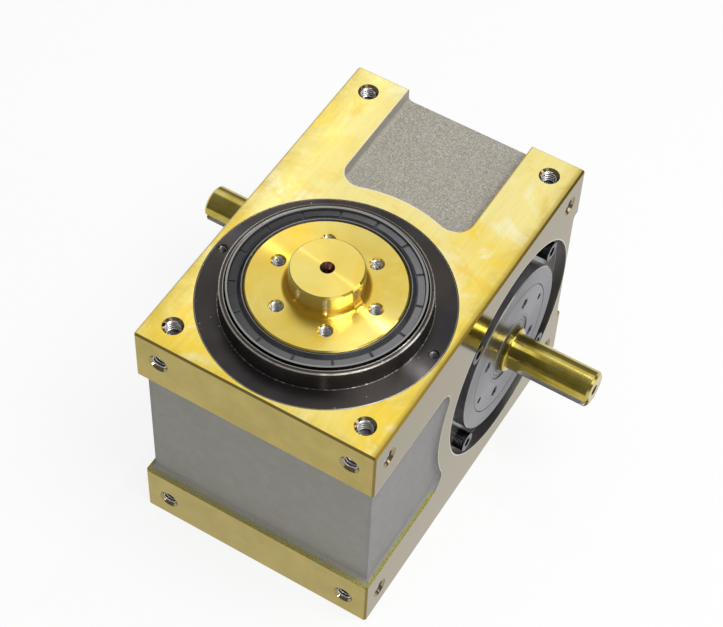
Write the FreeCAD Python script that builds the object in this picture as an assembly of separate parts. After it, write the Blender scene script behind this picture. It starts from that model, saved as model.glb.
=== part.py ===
import FreeCAD, Part
import math
import os

# Roller-gear cam indexer: cast housing, output turret with flange and boss, through input shaft.
# Millimetres. The origin is where the output axis meets the base plane, +Z is the output axis,
# +X is along the input shaft and +Y points to the end that holds the cam.

# Housing: the walls that are left round the two large bores
side_wall = 2.5
front_wall = 1.5
back_wall = 4.3
foot_wall = 11.3
head_wall = 11.3
centre_distance = 60.0
housing_edge_chamfer = 0.8
foot_band_height = 26.0
head_band_height = 26.0
end_recess_depth = 4.0
side_recess_depth = 2.5
side_land_width = 9.7
end_pocket_half_width = 29.5
end_pocket_depth = 7.0
end_land_width = 7.9
pocket_corner_radius = 8.0
pocket_floor_radius = 2.0
end_recess_fillet = 1.8

# Tapped fixing holes of the six housing faces; those of the bottom, back and left faces sit
# further in by the stagger, so that no two holes share an axis
fixing_hole_radius = 3.4
fixing_hole_depth = 7.0
fixing_hole_chamfer = 1.0
fixing_inset_side = 11.0
fixing_inset_end = 11.0
fixing_inset_height = 12.0
fixing_stagger = 1.0

# Clearances
seat_clearance = 0.02
running_clearance = 0.08
seal_clearance = 0.12
thread_clearance = 0.05
roller_clearance = 0.12
cavity_clearance = 1.0
chamber_gap = 5.0
chamber_drop = 4.0
cam_cavity_gap = 1.5
ring_flange_gap = 2.0
screw_hole_clearance = 0.25
screw_head_sink = 0.2
hole_run_out = 0.5

# Output stack, measured outwards from the flange, down from the top face or up from the base
flange_radius = 32.0
flange_rise = 10.0
flange_edge_chamfer = 0.6
flange_lip = 2.0
boss_radius = 15.0
boss_rise = 20.5
boss_edge_chamfer = 0.8
boss_root_radius = 2.7
centre_hole_radius = 1.4
centre_hole_depth = 8.0
centre_cone_radius = 2.9
flange_hole_count = 6
flange_hole_inset = 10.0
flange_hole_radius = 2.5
flange_hole_depth = 12.0
flange_hole_chamfer = 0.6

output_seal_section = 7.0
output_seal_width = 8.0
output_seal_rim = 0.8
output_seal_drop = 1.35
output_seal_stand = 1.0
seal_band_width = 2.7
seal_band_height = 0.35
seal_band_count = 15
seal_band_gap = 1.2
seal_band_angle = 17.0
seal_skin = 1.6
seal_waist_share = 0.35
collar_wall = 2.7
collar_taper = 0.5
collar_height = 9.0
collar_chamfer = 0.6
collar_mouth_chamfer = 0.8
ring_land = 9.3
ring_depth = 10.0
ring_seat_step = 9.0
spanner_hole_inset = 3.5
spanner_hole_radius = 1.7
spanner_hole_depth = 5.0
spanner_hole_chamfer = 0.5

upper_bearing_width = 16.0
upper_bearing_drop = 8.0
upper_roller_radius = 2.9
upper_roller_count = 12
lower_bore_radius = 17.5
lower_race_radius = 27.5
lower_bearing_width = 14.0
lower_bearing_lift = 16.0
lower_race_wall = 2.7
lower_roller_count = 10
race_step = 1.0
race_rib_share = 0.15
race_relief_depth = 3.0
roller_end_clearance = 0.3
cage_thickness = 2.0
cage_rim = 1.5
cage_side_clearance = 0.1
cage_end_clearance = 0.2
bearing_lip = 2.5
bearing_lip_height = 2.0

# Turret hub, studs and follower rollers, measured inwards from the throat of the cam
cam_throat_radius = 19.0
follower_count = 8
follower_radius = 7.0
follower_length = 9.0
follower_end_gap = 2.2
hub_gap = 0.8
hub_half_height = 16.0
hub_waist = 4.0
waist_height = 5.0
stud_radius = 4.0
stud_head_radius = 5.0
stud_head_height = 1.0
stud_head_gap = 0.2
stud_collar_radius = 6.0
stud_collar_gap = 0.1
stud_embedment = 12.0
spot_face_depth = 0.6
spot_face_margin = 0.3
shoulder_step = 3.5
shoulder_thickness = 4.0
shaft_end_chamfer = 1.0
turret_tail = 1.0
upper_nut_wall = 3.2
upper_nut_height = 6.0
lower_nut_wall = 5.0
lower_nut_height = 6.0
nut_slot_count = 4
nut_slot_width = 5.0
nut_slot_depth = 2.0

# Bottom cover
cover_land = 8.5
cover_recess = 6.0
cover_spigot_wall = 3.2
cover_screw_count = 4
cover_screw_offset = 4.0
cover_screw_radius = 2.0
cover_screw_head_radius = 3.5
cover_screw_head_height = 3.8
cover_screw_reach = 9.0
cover_screw_socket = 3.0

# Input side, from the side face inwards
sleeve_radius = 49.7
sleeve_recess = 5.0
sleeve_flange_thickness = 5.0
sleeve_disc_inset = 11.9
sleeve_spigot_inset = 11.7
sleeve_spigot_length = 5.5
sleeve_nose_wall = 3.5
sleeve_nose_overhang = 0.5
sleeve_edge_chamfer = 0.4
sleeve_screw_count = 4
sleeve_screw_inset = 5.45
sleeve_screw_radius = 2.5
sleeve_screw_head_radius = 4.25
sleeve_screw_head_height = 5.0
sleeve_screw_reach = 8.0
sleeve_screw_socket = 4.0
adjuster_land = 6.2
adjuster_thickness = 7.0
adjuster_edge_chamfer = 0.3
adjuster_nose_length = 2.0
adjuster_nose_wall = 2.4
adjuster_shaft_gap = 3.0
adjuster_hole_count = 4
adjuster_hole_inset = 7.7
adjuster_hole_radius = 2.1
adjuster_hole_depth = 5.5
adjuster_hole_chamfer = 0.5
adjuster_hole_angle = 64.0
adjuster_pin_inset = 3.7
adjuster_pin_radius = 1.5
adjuster_pin_angle = 109.0
input_seal_section = 6.0
input_seal_width = 6.0
input_seal_rim = 1.0
input_seal_drop = 0.5

input_bore_radius = 12.5
input_race_radius = 23.5
input_bearing_width = 15.0
input_race_wall = 2.9
input_roller_count = 9

shaft_seat_step = 0.5
shaft_seat_run_out = 1.0
journal_radius = 10.0
journal_rise = 2.5
journal_chamfer = 0.5
shaft_end_radius = 8.0
shaft_end_length = 37.5
keyway_length = 32.0
keyway_width = 5.0
keyway_depth = 3.0
keyway_angle = 285.0
shaft_centre_radius = 1.2
shaft_centre_cone = 2.4
shaft_centre_depth = 5.0

# Roller-gear cam
cam_half_length = 24.0
cam_outer_radius = 38.0
cam_hub_wall = 3.5
rib_top_gap = 0.5
rib_flank_clearance = 0.15
rib_turret_angle = 62.0
rib_steps = 30
rib_root_overlap = 0.8
cam_key_width = 8.0
cam_key_height = 7.0
cam_key_length = 30.0
cam_key_depth = 4.0
cam_bore_clearance = 0.02

# Oil fittings in the recess of the back face
plug_radius = 6.5
plug_head_radius = 8.5
plug_head_height = 3.0
plug_edge_chamfer = 0.5
plug_socket = 6.0
plug_socket_depth = 5.0
plug_shank_length = 9.0
plug_offset = 22.0
plug_inset = 13.0
port_depth = 27.0
glass_radius = 8.0
glass_bezel_radius = 10.5
glass_bezel_height = 3.5
glass_bezel_chamfer = 0.8
glass_window_radius = 5.5
glass_window_thickness = 2.0
glass_window_sink = 0.8
glass_seat_step = 1.0
glass_shank_length = 8.0

# How far a cutter runs past the face it opens, and how close counts as the same place
overshoot = 1.0
same_place = 0.01
centre_cone_slope = math.sqrt(3.0)

# Output stack, worked out from the flange to the side of the housing
output_seal_radius = flange_radius + output_seal_section
collar_top_radius = output_seal_radius + collar_wall
collar_base_radius = collar_top_radius + collar_taper
ring_radius = collar_base_radius + ring_land
spanner_hole_circle = 2 * (ring_radius - spanner_hole_inset)
flange_hole_circle = 2 * (flange_radius - flange_hole_inset)
upper_race_radius = ring_radius - ring_seat_step
upper_bore_radius = flange_radius - flange_lip
upper_nut_radius = upper_bore_radius + upper_nut_wall
lower_nut_radius = lower_bore_radius + lower_nut_wall
lower_shoulder_radius = lower_bore_radius + shoulder_step
cover_radius = lower_race_radius + cover_land
cover_screw_circle = 2 * (lower_race_radius + cover_screw_offset)

# Bearing rollers, worked out from the section that the two races leave
lower_roller_radius = (lower_race_radius - lower_bore_radius) / 2 - lower_race_wall
input_roller_radius = (input_race_radius - input_bore_radius) / 2 - input_race_wall

# Input side, worked out from the sleeve and the bearing
sleeve_disc_radius = sleeve_radius - sleeve_disc_inset
sleeve_spigot_radius = sleeve_radius - sleeve_spigot_inset
sleeve_bore_radius = sleeve_spigot_radius + seat_clearance
sleeve_screw_circle = 2 * (sleeve_radius - sleeve_screw_inset)
sleeve_nose_radius = input_race_radius + sleeve_nose_wall
adjuster_radius = input_race_radius + adjuster_land
adjuster_hole_circle = 2 * (adjuster_radius - adjuster_hole_inset)
adjuster_pin_circle = 2 * (adjuster_radius - adjuster_pin_inset)
input_seal_radius = journal_radius + input_seal_section
shaft_seat_radius = input_bore_radius + shaft_seat_step
cam_hub_radius = shaft_seat_radius + cam_hub_wall

# Housing, worked out from the bores and the walls round them
half_width = ring_radius + side_wall
front_y = -(ring_radius + front_wall)
back_y = centre_distance + sleeve_radius + back_wall
input_height = sleeve_radius + foot_wall
top_z = input_height + sleeve_radius + head_wall
pocket_overrun = 2 * pocket_corner_radius

# Levels along the output axis
upper_bearing_top = top_z - upper_bearing_drop
upper_bearing_bottom = upper_bearing_top - upper_bearing_width
lower_bearing_bottom = lower_bearing_lift
lower_bearing_top = lower_bearing_bottom + lower_bearing_width
lower_nut_bottom = lower_bearing_bottom - lower_nut_height - turret_tail
flange_top = top_z + flange_rise
boss_top = top_z + boss_rise
collar_top = top_z + collar_height
output_seal_top = collar_top + output_seal_stand
ring_bottom = top_z - ring_depth
cover_screw_seat = cover_screw_head_height + screw_head_sink

# Reach of the cam core, the followers and the hub from the output axis
cam_core_reach = centre_distance - cam_throat_radius
follower_outer = cam_core_reach - follower_end_gap
follower_inner = follower_outer - follower_length
hub_radius = follower_inner - hub_gap
waist_radius = hub_radius - hub_waist
stud_collar_start = hub_radius - spot_face_depth
stud_collar_end = follower_inner - stud_collar_gap
stud_head_start = follower_outer + stud_head_gap
stud_end = stud_head_start + stud_head_height
cavity_radius = math.hypot(stud_end, stud_head_radius) + cavity_clearance
cam_cavity_radius = cam_outer_radius + cam_cavity_gap
cam_cavity_half = cam_half_length + chamber_gap

# Places along the input shaft, from the middle of the housing
race_face = half_width - sleeve_recess - sleeve_flange_thickness
adjuster_floor = half_width - adjuster_thickness
input_bearing_end = adjuster_floor - adjuster_nose_length
input_bearing_start = input_bearing_end - input_bearing_width
journal_end = half_width + journal_rise
shaft_half_length = journal_end + shaft_end_length
keyway_start = shaft_half_length - keyway_length

X = FreeCAD.Vector(1, 0, 0)
Y = FreeCAD.Vector(0, 1, 0)
Z = FreeCAD.Vector(0, 0, 1)
ORIGIN = FreeCAD.Vector(0, 0, 0)
CAM_CENTRE = FreeCAD.Vector(0, centre_distance, input_height)


def turned(profile, axis_point=ORIGIN, direction=Z):
    """Solid of revolution of a closed (radius, height) outline about an axis."""
    points = [FreeCAD.Vector(radius, 0, height) for radius, height in profile]
    face = Part.Face(Part.makePolygon(points + points[:1]))
    solid = face.revolve(ORIGIN, Z, 360)
    return placed(solid, axis_point, direction)


def placed(shape, point, direction):
    """Move a shape built about +Z so that its axis starts at point and runs along direction."""
    moved = shape.copy()
    turn = FreeCAD.Rotation(Z, FreeCAD.Vector(direction))
    moved.Placement = FreeCAD.Placement(FreeCAD.Vector(point), turn).multiply(moved.Placement)
    return moved


def cylinder(radius, start, end, axis_point=ORIGIN, direction=Z):
    """Cylinder between two distances along an axis."""
    base = FreeCAD.Vector(axis_point) + FreeCAD.Vector(direction) * start
    return Part.makeCylinder(radius, end - start, base, FreeCAD.Vector(direction))


def tube(inner, outer, start, end):
    """Plain ring about +Z."""
    return turned([(inner, start), (outer, start), (outer, end), (inner, end)])


def block(x0, x1, y0, y1, z0, z1):
    """Box between two corners."""
    return Part.makeBox(x1 - x0, y1 - y0, z1 - z0, FreeCAD.Vector(x0, y0, z0))


def tapped_hole(radius, depth, chamfer, point, outward):
    """Cutter for a blind tapped hole whose mouth lies at point and opens along outward."""
    profile = [
        (0, -depth),
        (radius, -depth),
        (radius, -chamfer),
        (radius + chamfer, 0),
        (radius + chamfer, overshoot),
        (0, overshoot),
    ]
    return turned(profile, point, outward)


def hexagon(across_flats, start, end):
    """Hexagonal prism about +Z."""
    corner = across_flats / math.sqrt(3.0)
    points = []
    for index in range(6):
        angle = math.radians(60 * index)
        points.append(FreeCAD.Vector(corner * math.cos(angle), corner * math.sin(angle), start))
    face = Part.Face(Part.makePolygon(points + points[:1]))
    return face.extrude(Z * (end - start))


def input_side(shape, side):
    """Carry a piece drawn about +Z from the middle of the housing to one end of the input shaft."""
    moved = placed(shape, CAM_CENTRE, X)
    if side < 0:
        moved.rotate(CAM_CENTRE, Z, 180)
    return moved


def on_circle(diameter, angle):
    """Point on a circle about the Z axis, angle in degrees from +X."""
    reach = diameter / 2.0
    turn = math.radians(angle)
    return FreeCAD.Vector(reach * math.cos(turn), reach * math.sin(turn), 0)


def ring_of_places(diameter, count):
    """Evenly spaced points on a circle, the first half a step from +X."""
    step = 360.0 / count
    return [on_circle(diameter, step * (index + 0.5)) for index in range(count)]


def corner_places(first_low, first_high, second_low, second_high, inset):
    """The four corners of a rectangle drawn in by an inset, as pairs."""
    firsts = (first_low + inset, first_high - inset)
    seconds = (second_low + inset, second_high - inset)
    return [(first, second) for first in firsts for second in seconds]


def fixing_holes():
    """The four tapped holes of each of the six housing faces."""
    x_reach = half_width - fixing_inset_side
    y_low = front_y + fixing_inset_end
    y_high = back_y - fixing_inset_end
    z_low = fixing_inset_height
    z_high = top_z - fixing_inset_height
    holes = []
    for end, inset in ((1, 0.0), (-1, fixing_stagger)):
        for x, y in corner_places(-x_reach, x_reach, y_low, y_high, inset):
            holes.append(((x, y, top_z if end > 0 else 0), Z * end))
        for x, z in corner_places(-x_reach, x_reach, z_low, z_high, inset):
            holes.append(((x, front_y if end > 0 else back_y, z), -Y * end))
        for y, z in corner_places(y_low, y_high, z_low, z_high, inset):
            holes.append(((end * half_width, y, z), X * end))
    cutters = []
    for point, outward in holes:
        cutters.append(tapped_hole(
            fixing_hole_radius, fixing_hole_depth, fixing_hole_chamfer,
            FreeCAD.Vector(*point), outward,
        ))
    return cutters


def end_pocket(floor):
    """Cast pocket of the top face: an arc round the output axis, open at the back."""
    high = top_z + pocket_corner_radius
    tool = block(
        -end_pocket_half_width, end_pocket_half_width,
        0, back_y + pocket_overrun,
        floor, high,
    )
    arc_radius = ring_radius + end_land_width
    tool = tool.cut(cylinder(arc_radius, floor - overshoot, high + overshoot))
    corners = []
    for edge in tool.Edges:
        box = edge.BoundBox
        upright = box.ZLength > (high - floor) - same_place
        if upright and box.YMax < back_y and box.XLength < same_place:
            corners.append(edge)
    tool = tool.makeFillet(pocket_corner_radius, corners)
    rim = []
    for edge in tool.Edges:
        box = edge.BoundBox
        if abs(box.ZMax - floor) < same_place and box.YMin < back_y:
            rim.append(edge)
    return tool.makeFillet(pocket_floor_radius, rim)


def side_pocket(side):
    """Cast pocket of a side face: between the two bands, from an end to an arc round the input axis."""
    floor = half_width - side_recess_depth
    outside = half_width + pocket_corner_radius
    mouth = front_y - pocket_overrun
    tool = block(
        floor, outside,
        mouth, centre_distance,
        foot_band_height, top_z - head_band_height,
    )
    arc_radius = sleeve_radius + side_land_width
    tool = tool.cut(cylinder(arc_radius, floor - overshoot, outside + overshoot, CAM_CENTRE, X))
    tool = min(tool.Solids, key=lambda solid: solid.CenterOfMass.y)
    corners = []
    for edge in tool.Edges:
        box = edge.BoundBox
        through = box.XLength > (outside - floor) - same_place
        if through and box.YMin > front_y and box.YLength < same_place:
            corners.append(edge)
    tool = tool.makeFillet(pocket_corner_radius, corners)
    rim = []
    for edge in tool.Edges:
        box = edge.BoundBox
        if abs(box.XMax - floor) < same_place and box.YMin > mouth - same_place:
            if box.YMax > mouth + same_place:
                rim.append(edge)
    tool = tool.makeFillet(pocket_floor_radius, rim)
    if side < 0:
        tool = tool.mirror(ORIGIN, X)
    return tool


def end_recess(y_face, outward):
    """Cast recess across the whole front or back face, between the two machined bands."""
    floor = y_face - outward * end_recess_depth
    outer = y_face + outward * end_recess_depth
    tool = block(
        -half_width - overshoot, half_width + overshoot,
        min(floor, outer), max(floor, outer),
        foot_band_height, top_z - head_band_height,
    )
    edges = []
    for edge in tool.Edges:
        box = edge.BoundBox
        if box.XLength > half_width and abs(box.YMin - floor) < same_place:
            edges.append(edge)
    return tool.makeFillet(end_recess_fillet, edges)


def make_housing():
    body = block(-half_width, half_width, front_y, back_y, 0, top_z)
    body = body.makeChamfer(housing_edge_chamfer, body.Edges)

    top_pocket = end_pocket(top_z - end_pocket_depth)
    bottom_pocket = top_pocket.mirror(FreeCAD.Vector(0, 0, top_z / 2.0), Z)
    cutters = [top_pocket, bottom_pocket, side_pocket(1), side_pocket(-1)]
    cutters.append(end_recess(front_y, -1))
    cutters.append(end_recess(back_y, 1))

    # Output bore: ring seat, bearing seat, turret chamber, lower seat and cover recess
    cutters.append(cylinder(ring_radius, ring_bottom, top_z + overshoot))
    upper_seat = upper_race_radius + seat_clearance
    cutters.append(cylinder(upper_seat, upper_bearing_bottom, ring_bottom + overshoot))
    chamber_floor = lower_bearing_top + bearing_lip_height
    chamber_step = input_height - follower_radius - chamber_drop
    cutters.append(cylinder(cavity_radius, chamber_step, upper_bearing_bottom + overshoot))
    cutters.append(cylinder(hub_radius + chamber_gap, chamber_floor, chamber_step + overshoot))
    lower_seat = lower_race_radius + seat_clearance
    lip_radius = lower_seat - bearing_lip
    cutters.append(cylinder(lip_radius, lower_bearing_top - overshoot, chamber_floor + overshoot))
    cutters.append(cylinder(lower_seat, -overshoot, lower_bearing_top))
    cutters.append(cylinder(cover_radius + thread_clearance, -overshoot, cover_recess))

    # Input bore: cam chamber, sleeve bore right through and the recess for each sleeve flange
    cutters.append(cylinder(cam_cavity_radius, -cam_cavity_half, cam_cavity_half, CAM_CENTRE, X))
    cutters.append(cylinder(sleeve_bore_radius, -race_face, race_face, CAM_CENTRE, X))
    for side in (-1, 1):
        cutters.append(cylinder(sleeve_radius, race_face, half_width + overshoot, CAM_CENTRE, X * side))
        for place in sleeve_screw_places():
            hole = cylinder(
                sleeve_screw_radius + seat_clearance,
                race_face - sleeve_screw_reach - hole_run_out, race_face + overshoot, place,
            )
            cutters.append(input_side(hole, side))

    # Tapped holes for the bottom cover and the oil fittings
    for place in cover_screw_places():
        radius = cover_screw_radius + seat_clearance
        hole_end = cover_recess + cover_screw_reach + hole_run_out
        cutters.append(cylinder(radius, cover_recess - overshoot, hole_end, place))
    for place, radius in oil_ports():
        cutters.append(cylinder(radius + seat_clearance, -port_depth, 0, place, Y))
    cutters.extend(fixing_holes())
    for cutter in cutters:
        body = body.cut(cutter)
    return body


def sleeve_screw_places():
    """Axes of the sleeve screws, drawn about +Z."""
    return ring_of_places(sleeve_screw_circle, sleeve_screw_count)


def cover_screw_places():
    """Axes of the bottom cover screws."""
    return ring_of_places(cover_screw_circle, cover_screw_count)


def oil_ports():
    """Mouths of the filler, drain and sight-glass holes, in the floor of the back recess."""
    wall = back_y - end_recess_depth
    filler = FreeCAD.Vector(-plug_offset, wall, top_z - head_band_height - plug_inset)
    drain = FreeCAD.Vector(plug_offset, wall, foot_band_height + plug_inset)
    glass = FreeCAD.Vector(0, wall, input_height)
    return [(filler, plug_radius), (drain, plug_radius), (glass, glass_radius)]


def make_retainer_ring():
    outer = ring_radius - thread_clearance
    seal_bore = output_seal_radius + seat_clearance
    race_bore = race_inner_radius(upper_race_radius, upper_bore_radius, upper_roller_radius)
    seal_floor = output_seal_top - output_seal_width
    profile = [
        (race_bore, upper_bearing_top),
        (upper_race_radius, upper_bearing_top),
        (upper_race_radius, ring_bottom),
        (outer, ring_bottom),
        (outer, top_z - collar_chamfer),
        (outer - collar_chamfer, top_z),
        (collar_base_radius, top_z),
        (collar_top_radius, collar_top - collar_chamfer),
        (collar_top_radius - collar_chamfer, collar_top),
        (seal_bore + collar_mouth_chamfer, collar_top),
        (seal_bore, collar_top - collar_mouth_chamfer),
        (seal_bore, seal_floor),
        (flange_radius + ring_flange_gap, seal_floor),
        (flange_radius + ring_flange_gap, upper_bearing_top + race_relief_depth),
        (race_bore, upper_bearing_top + race_relief_depth),
    ]
    ring = turned(profile)
    for angle in (0, 180):
        ring = ring.cut(tapped_hole(
            spanner_hole_radius, spanner_hole_depth, spanner_hole_chamfer,
            on_circle(spanner_hole_circle, angle) + Z * top_z, Z,
        ))
    return ring


def seal_profile(outer, inner, width, rim, drop):
    """Section of a lip seal about +Z, from its back at 0 to its rim and lip at width."""
    waist = inner + (outer - inner) * seal_waist_share
    face = width - drop
    lip = seal_skin / 2.0
    web = waist - seal_skin
    return [
        (waist, 0),
        (outer, 0),
        (outer, width),
        (outer - rim, width),
        (outer - rim * 1.5, face),
        (waist, face),
        (inner + lip, width),
        (inner, width - lip),
        (inner, width - 4 * lip),
        (web, width - 3 * lip),
        (web, 2 * lip),
        (inner + lip, 2 * lip),
        (inner, lip),
        (inner + lip, 0),
    ]


def make_output_seal():
    """Output lip seal, with a raised band on its face that narrow gaps divide into segments."""
    inner = flange_radius + seal_clearance
    face = output_seal_width - output_seal_drop
    seal = turned(seal_profile(
        output_seal_radius, inner, output_seal_width, output_seal_rim, output_seal_drop,
    ))
    band_outer = output_seal_radius - output_seal_rim * 1.5
    band_inner = band_outer - seal_band_width
    band = tube(band_inner, band_outer, face - seal_skin, face + seal_band_height)
    for index in range(seal_band_count):
        gap = block(
            band_inner - overshoot, band_outer + overshoot,
            -seal_band_gap / 2.0, seal_band_gap / 2.0,
            face - overshoot, face + overshoot,
        )
        gap.rotate(ORIGIN, Z, seal_band_angle + 360.0 * index / seal_band_count)
        band = band.cut(gap)
    return placed(seal.fuse(band), Z * (output_seal_top - output_seal_width), Z)


def race_inner_radius(outer_radius, bore_radius, roller_radius):
    """Track radius of an outer race."""
    return (outer_radius + bore_radius) / 2.0 + roller_radius + roller_clearance


def outer_race(outer_radius, bore_radius, roller_radius, low, high):
    track = race_inner_radius(outer_radius, bore_radius, roller_radius)
    return tube(track, outer_radius, low, high)


def inner_race(outer_radius, bore_radius, roller_radius, low, high):
    """Inner race with a shoulder at each end that keeps the rollers in place."""
    track = (outer_radius + bore_radius) / 2.0 - roller_radius - roller_clearance
    bore = bore_radius + seat_clearance
    shoulder = track + race_step
    rib = race_rib(low, high)
    return turned([
        (bore, low),
        (shoulder, low),
        (shoulder, low + rib),
        (track, low + rib),
        (track, high - rib),
        (shoulder, high - rib),
        (shoulder, high),
        (bore, high),
    ])


def race_rib(low, high):
    """Width of the shoulder at each end of an inner race."""
    return (high - low) * race_rib_share


def roller_set(outer_radius, bore_radius, roller_radius, count, low, high):
    """Cylindrical rollers of one bearing, as a group of separate solids."""
    pitch_circle = outer_radius + bore_radius
    margin = race_rib(low, high) + roller_end_clearance
    rollers = []
    for index in range(count):
        centre = on_circle(pitch_circle, 360.0 * index / count)
        rollers.append(cylinder(roller_radius, low + margin, high - margin, centre))
    return Part.makeCompound(rollers)


def cage(outer_radius, bore_radius, roller_radius, count, low, high):
    """Cage ring with a square window for each roller."""
    pitch = (outer_radius + bore_radius) / 2.0
    half_wall = cage_thickness / 2.0
    window_low = low + race_rib(low, high) + cage_end_clearance
    window_high = high - race_rib(low, high) - cage_end_clearance
    window_half = roller_radius + cage_side_clearance
    ring = tube(pitch - half_wall, pitch + half_wall, window_low - cage_rim, window_high + cage_rim)
    for index in range(count):
        opening = block(
            pitch - cage_thickness, pitch + cage_thickness,
            -window_half, window_half,
            window_low, window_high,
        )
        opening.rotate(ORIGIN, Z, 360.0 * index / count)
        ring = ring.cut(opening)
    return ring


def make_turret():
    """Output flange, boss, bearing seats and the hub that carries the followers, in one piece."""
    hub_low = input_height - hub_half_height
    hub_high = input_height + hub_half_height
    shoulder_top = lower_bearing_top + shoulder_thickness
    waist_low = hub_high + hub_waist
    waist_high = waist_low + waist_height
    outline = [
        (0, lower_nut_bottom - shaft_end_chamfer),
        (lower_bore_radius - shaft_end_chamfer, lower_nut_bottom - shaft_end_chamfer),
        (lower_bore_radius, lower_nut_bottom),
        (lower_bore_radius, lower_bearing_top),
        (lower_shoulder_radius, lower_bearing_top),
        (lower_shoulder_radius, shoulder_top),
        (hub_radius, hub_low),
        (hub_radius, hub_high),
        (waist_radius, waist_low),
        (waist_radius, waist_high),
        (upper_bore_radius, waist_high + hub_waist),
        (upper_bore_radius, upper_bearing_top),
        (flange_radius, upper_bearing_top),
        (flange_radius, flange_top - flange_edge_chamfer),
        (flange_radius - flange_edge_chamfer, flange_top),
        (boss_radius + boss_root_radius, flange_top),
    ]
    edges = []
    points = [FreeCAD.Vector(radius, 0, height) for radius, height in outline]
    for start, end in zip(points, points[1:]):
        edges.append(Part.makeLine(start, end))
    root_start = points[-1]
    cone_depth = (centre_cone_radius - centre_hole_radius) * centre_cone_slope
    bend = boss_root_radius * (1 - math.cos(math.radians(45)))
    root_middle = FreeCAD.Vector(boss_radius + bend, 0, flange_top + bend)
    root_end = FreeCAD.Vector(boss_radius, 0, flange_top + boss_root_radius)
    edges.append(Part.Arc(root_start, root_middle, root_end).toShape())
    rest = [
        root_end,
        FreeCAD.Vector(boss_radius, 0, boss_top - boss_edge_chamfer),
        FreeCAD.Vector(boss_radius - boss_edge_chamfer, 0, boss_top),
        FreeCAD.Vector(centre_cone_radius, 0, boss_top),
        FreeCAD.Vector(centre_hole_radius, 0, boss_top - cone_depth),
        FreeCAD.Vector(centre_hole_radius, 0, boss_top - centre_hole_depth),
        FreeCAD.Vector(0, 0, boss_top - centre_hole_depth),
        points[0],
    ]
    for start, end in zip(rest, rest[1:]):
        edges.append(Part.makeLine(start, end))
    face = Part.Face(Part.Wire(edges))
    turret = face.revolve(ORIGIN, Z, 360)

    for index in range(flange_hole_count):
        mouth = on_circle(flange_hole_circle, 360.0 * index / flange_hole_count) + Z * flange_top
        turret = turret.cut(tapped_hole(
            flange_hole_radius, flange_hole_depth, flange_hole_chamfer, mouth, Z,
        ))
    for index in range(follower_count):
        direction = follower_direction(index)
        level = Z * input_height
        outside = hub_radius + overshoot
        bottom = stud_collar_start - stud_embedment - hole_run_out
        turret = turret.cut(cylinder(stud_radius + seat_clearance, bottom, outside, level, direction))
        face_radius = stud_collar_radius + spot_face_margin
        turret = turret.cut(cylinder(face_radius, stud_collar_start, outside, level, direction))
    return turret


def follower_direction(index):
    """Outward direction of one follower; two of them straddle the cam rib at rest."""
    angle = math.radians(90.0 + 360.0 * (index + 0.5) / follower_count)
    return FreeCAD.Vector(math.cos(angle), math.sin(angle), 0)


def make_studs():
    studs = []
    for index in range(follower_count):
        profile = [
            (0, stud_collar_start - stud_embedment),
            (stud_radius, stud_collar_start - stud_embedment),
            (stud_radius, stud_collar_start),
            (stud_collar_radius, stud_collar_start),
            (stud_collar_radius, stud_collar_end),
            (stud_radius, stud_collar_end),
            (stud_radius, stud_head_start),
            (stud_head_radius, stud_head_start),
            (stud_head_radius, stud_end),
            (0, stud_end),
        ]
        studs.append(turned(profile, Z * input_height, follower_direction(index)))
    return Part.makeCompound(studs)


def make_follower(index):
    bore = stud_radius + running_clearance
    roller = tube(bore, follower_radius, follower_inner, follower_outer)
    return placed(roller, Z * input_height, follower_direction(index))


def slotted_nut(bore, outer, low, high):
    """Round locknut with spanner slots round its rim."""
    nut = tube(bore + thread_clearance, outer, low, high)
    for index in range(nut_slot_count):
        slot = block(
            outer - nut_slot_depth, outer + nut_slot_depth,
            -nut_slot_width / 2.0, nut_slot_width / 2.0,
            low - overshoot, high + overshoot,
        )
        slot.rotate(ORIGIN, Z, 360.0 * index / nut_slot_count)
        nut = nut.cut(slot)
    return nut


def make_bottom_cover():
    outer = lower_race_radius
    inner = lower_race_radius - cover_spigot_wall
    cover = turned([
        (0, 0),
        (cover_radius, 0),
        (cover_radius, cover_recess),
        (outer, cover_recess),
        (outer, lower_bearing_bottom),
        (inner, lower_bearing_bottom),
        (inner, cover_recess),
        (0, cover_recess),
    ])
    for place in cover_screw_places():
        shank_radius = cover_screw_radius + screw_hole_clearance
        head_radius = cover_screw_head_radius + screw_hole_clearance
        cover = cover.cut(cylinder(shank_radius, -overshoot, cover_recess + overshoot, place))
        cover = cover.cut(cylinder(head_radius, -overshoot, cover_screw_seat, place))
    return cover


def socket_screw(head_radius, head_height, radius, reach, socket):
    """Cap screw about +Z: the head rests at 0 and rises, the shank goes down to -reach."""
    screw = turned([
        (0, -reach),
        (radius, -reach),
        (radius, 0),
        (head_radius, 0),
        (head_radius, head_height),
        (0, head_height),
    ])
    return screw.cut(hexagon(socket, head_height - socket / 2.0, head_height + overshoot))


def make_cover_screws():
    screws = []
    for place in cover_screw_places():
        screw = socket_screw(
            cover_screw_head_radius, cover_screw_head_height, cover_screw_radius,
            cover_recess + cover_screw_reach - cover_screw_seat, cover_screw_socket,
        )
        screws.append(placed(screw, place + Z * cover_screw_seat, -Z))
    return Part.makeCompound(screws)


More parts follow.
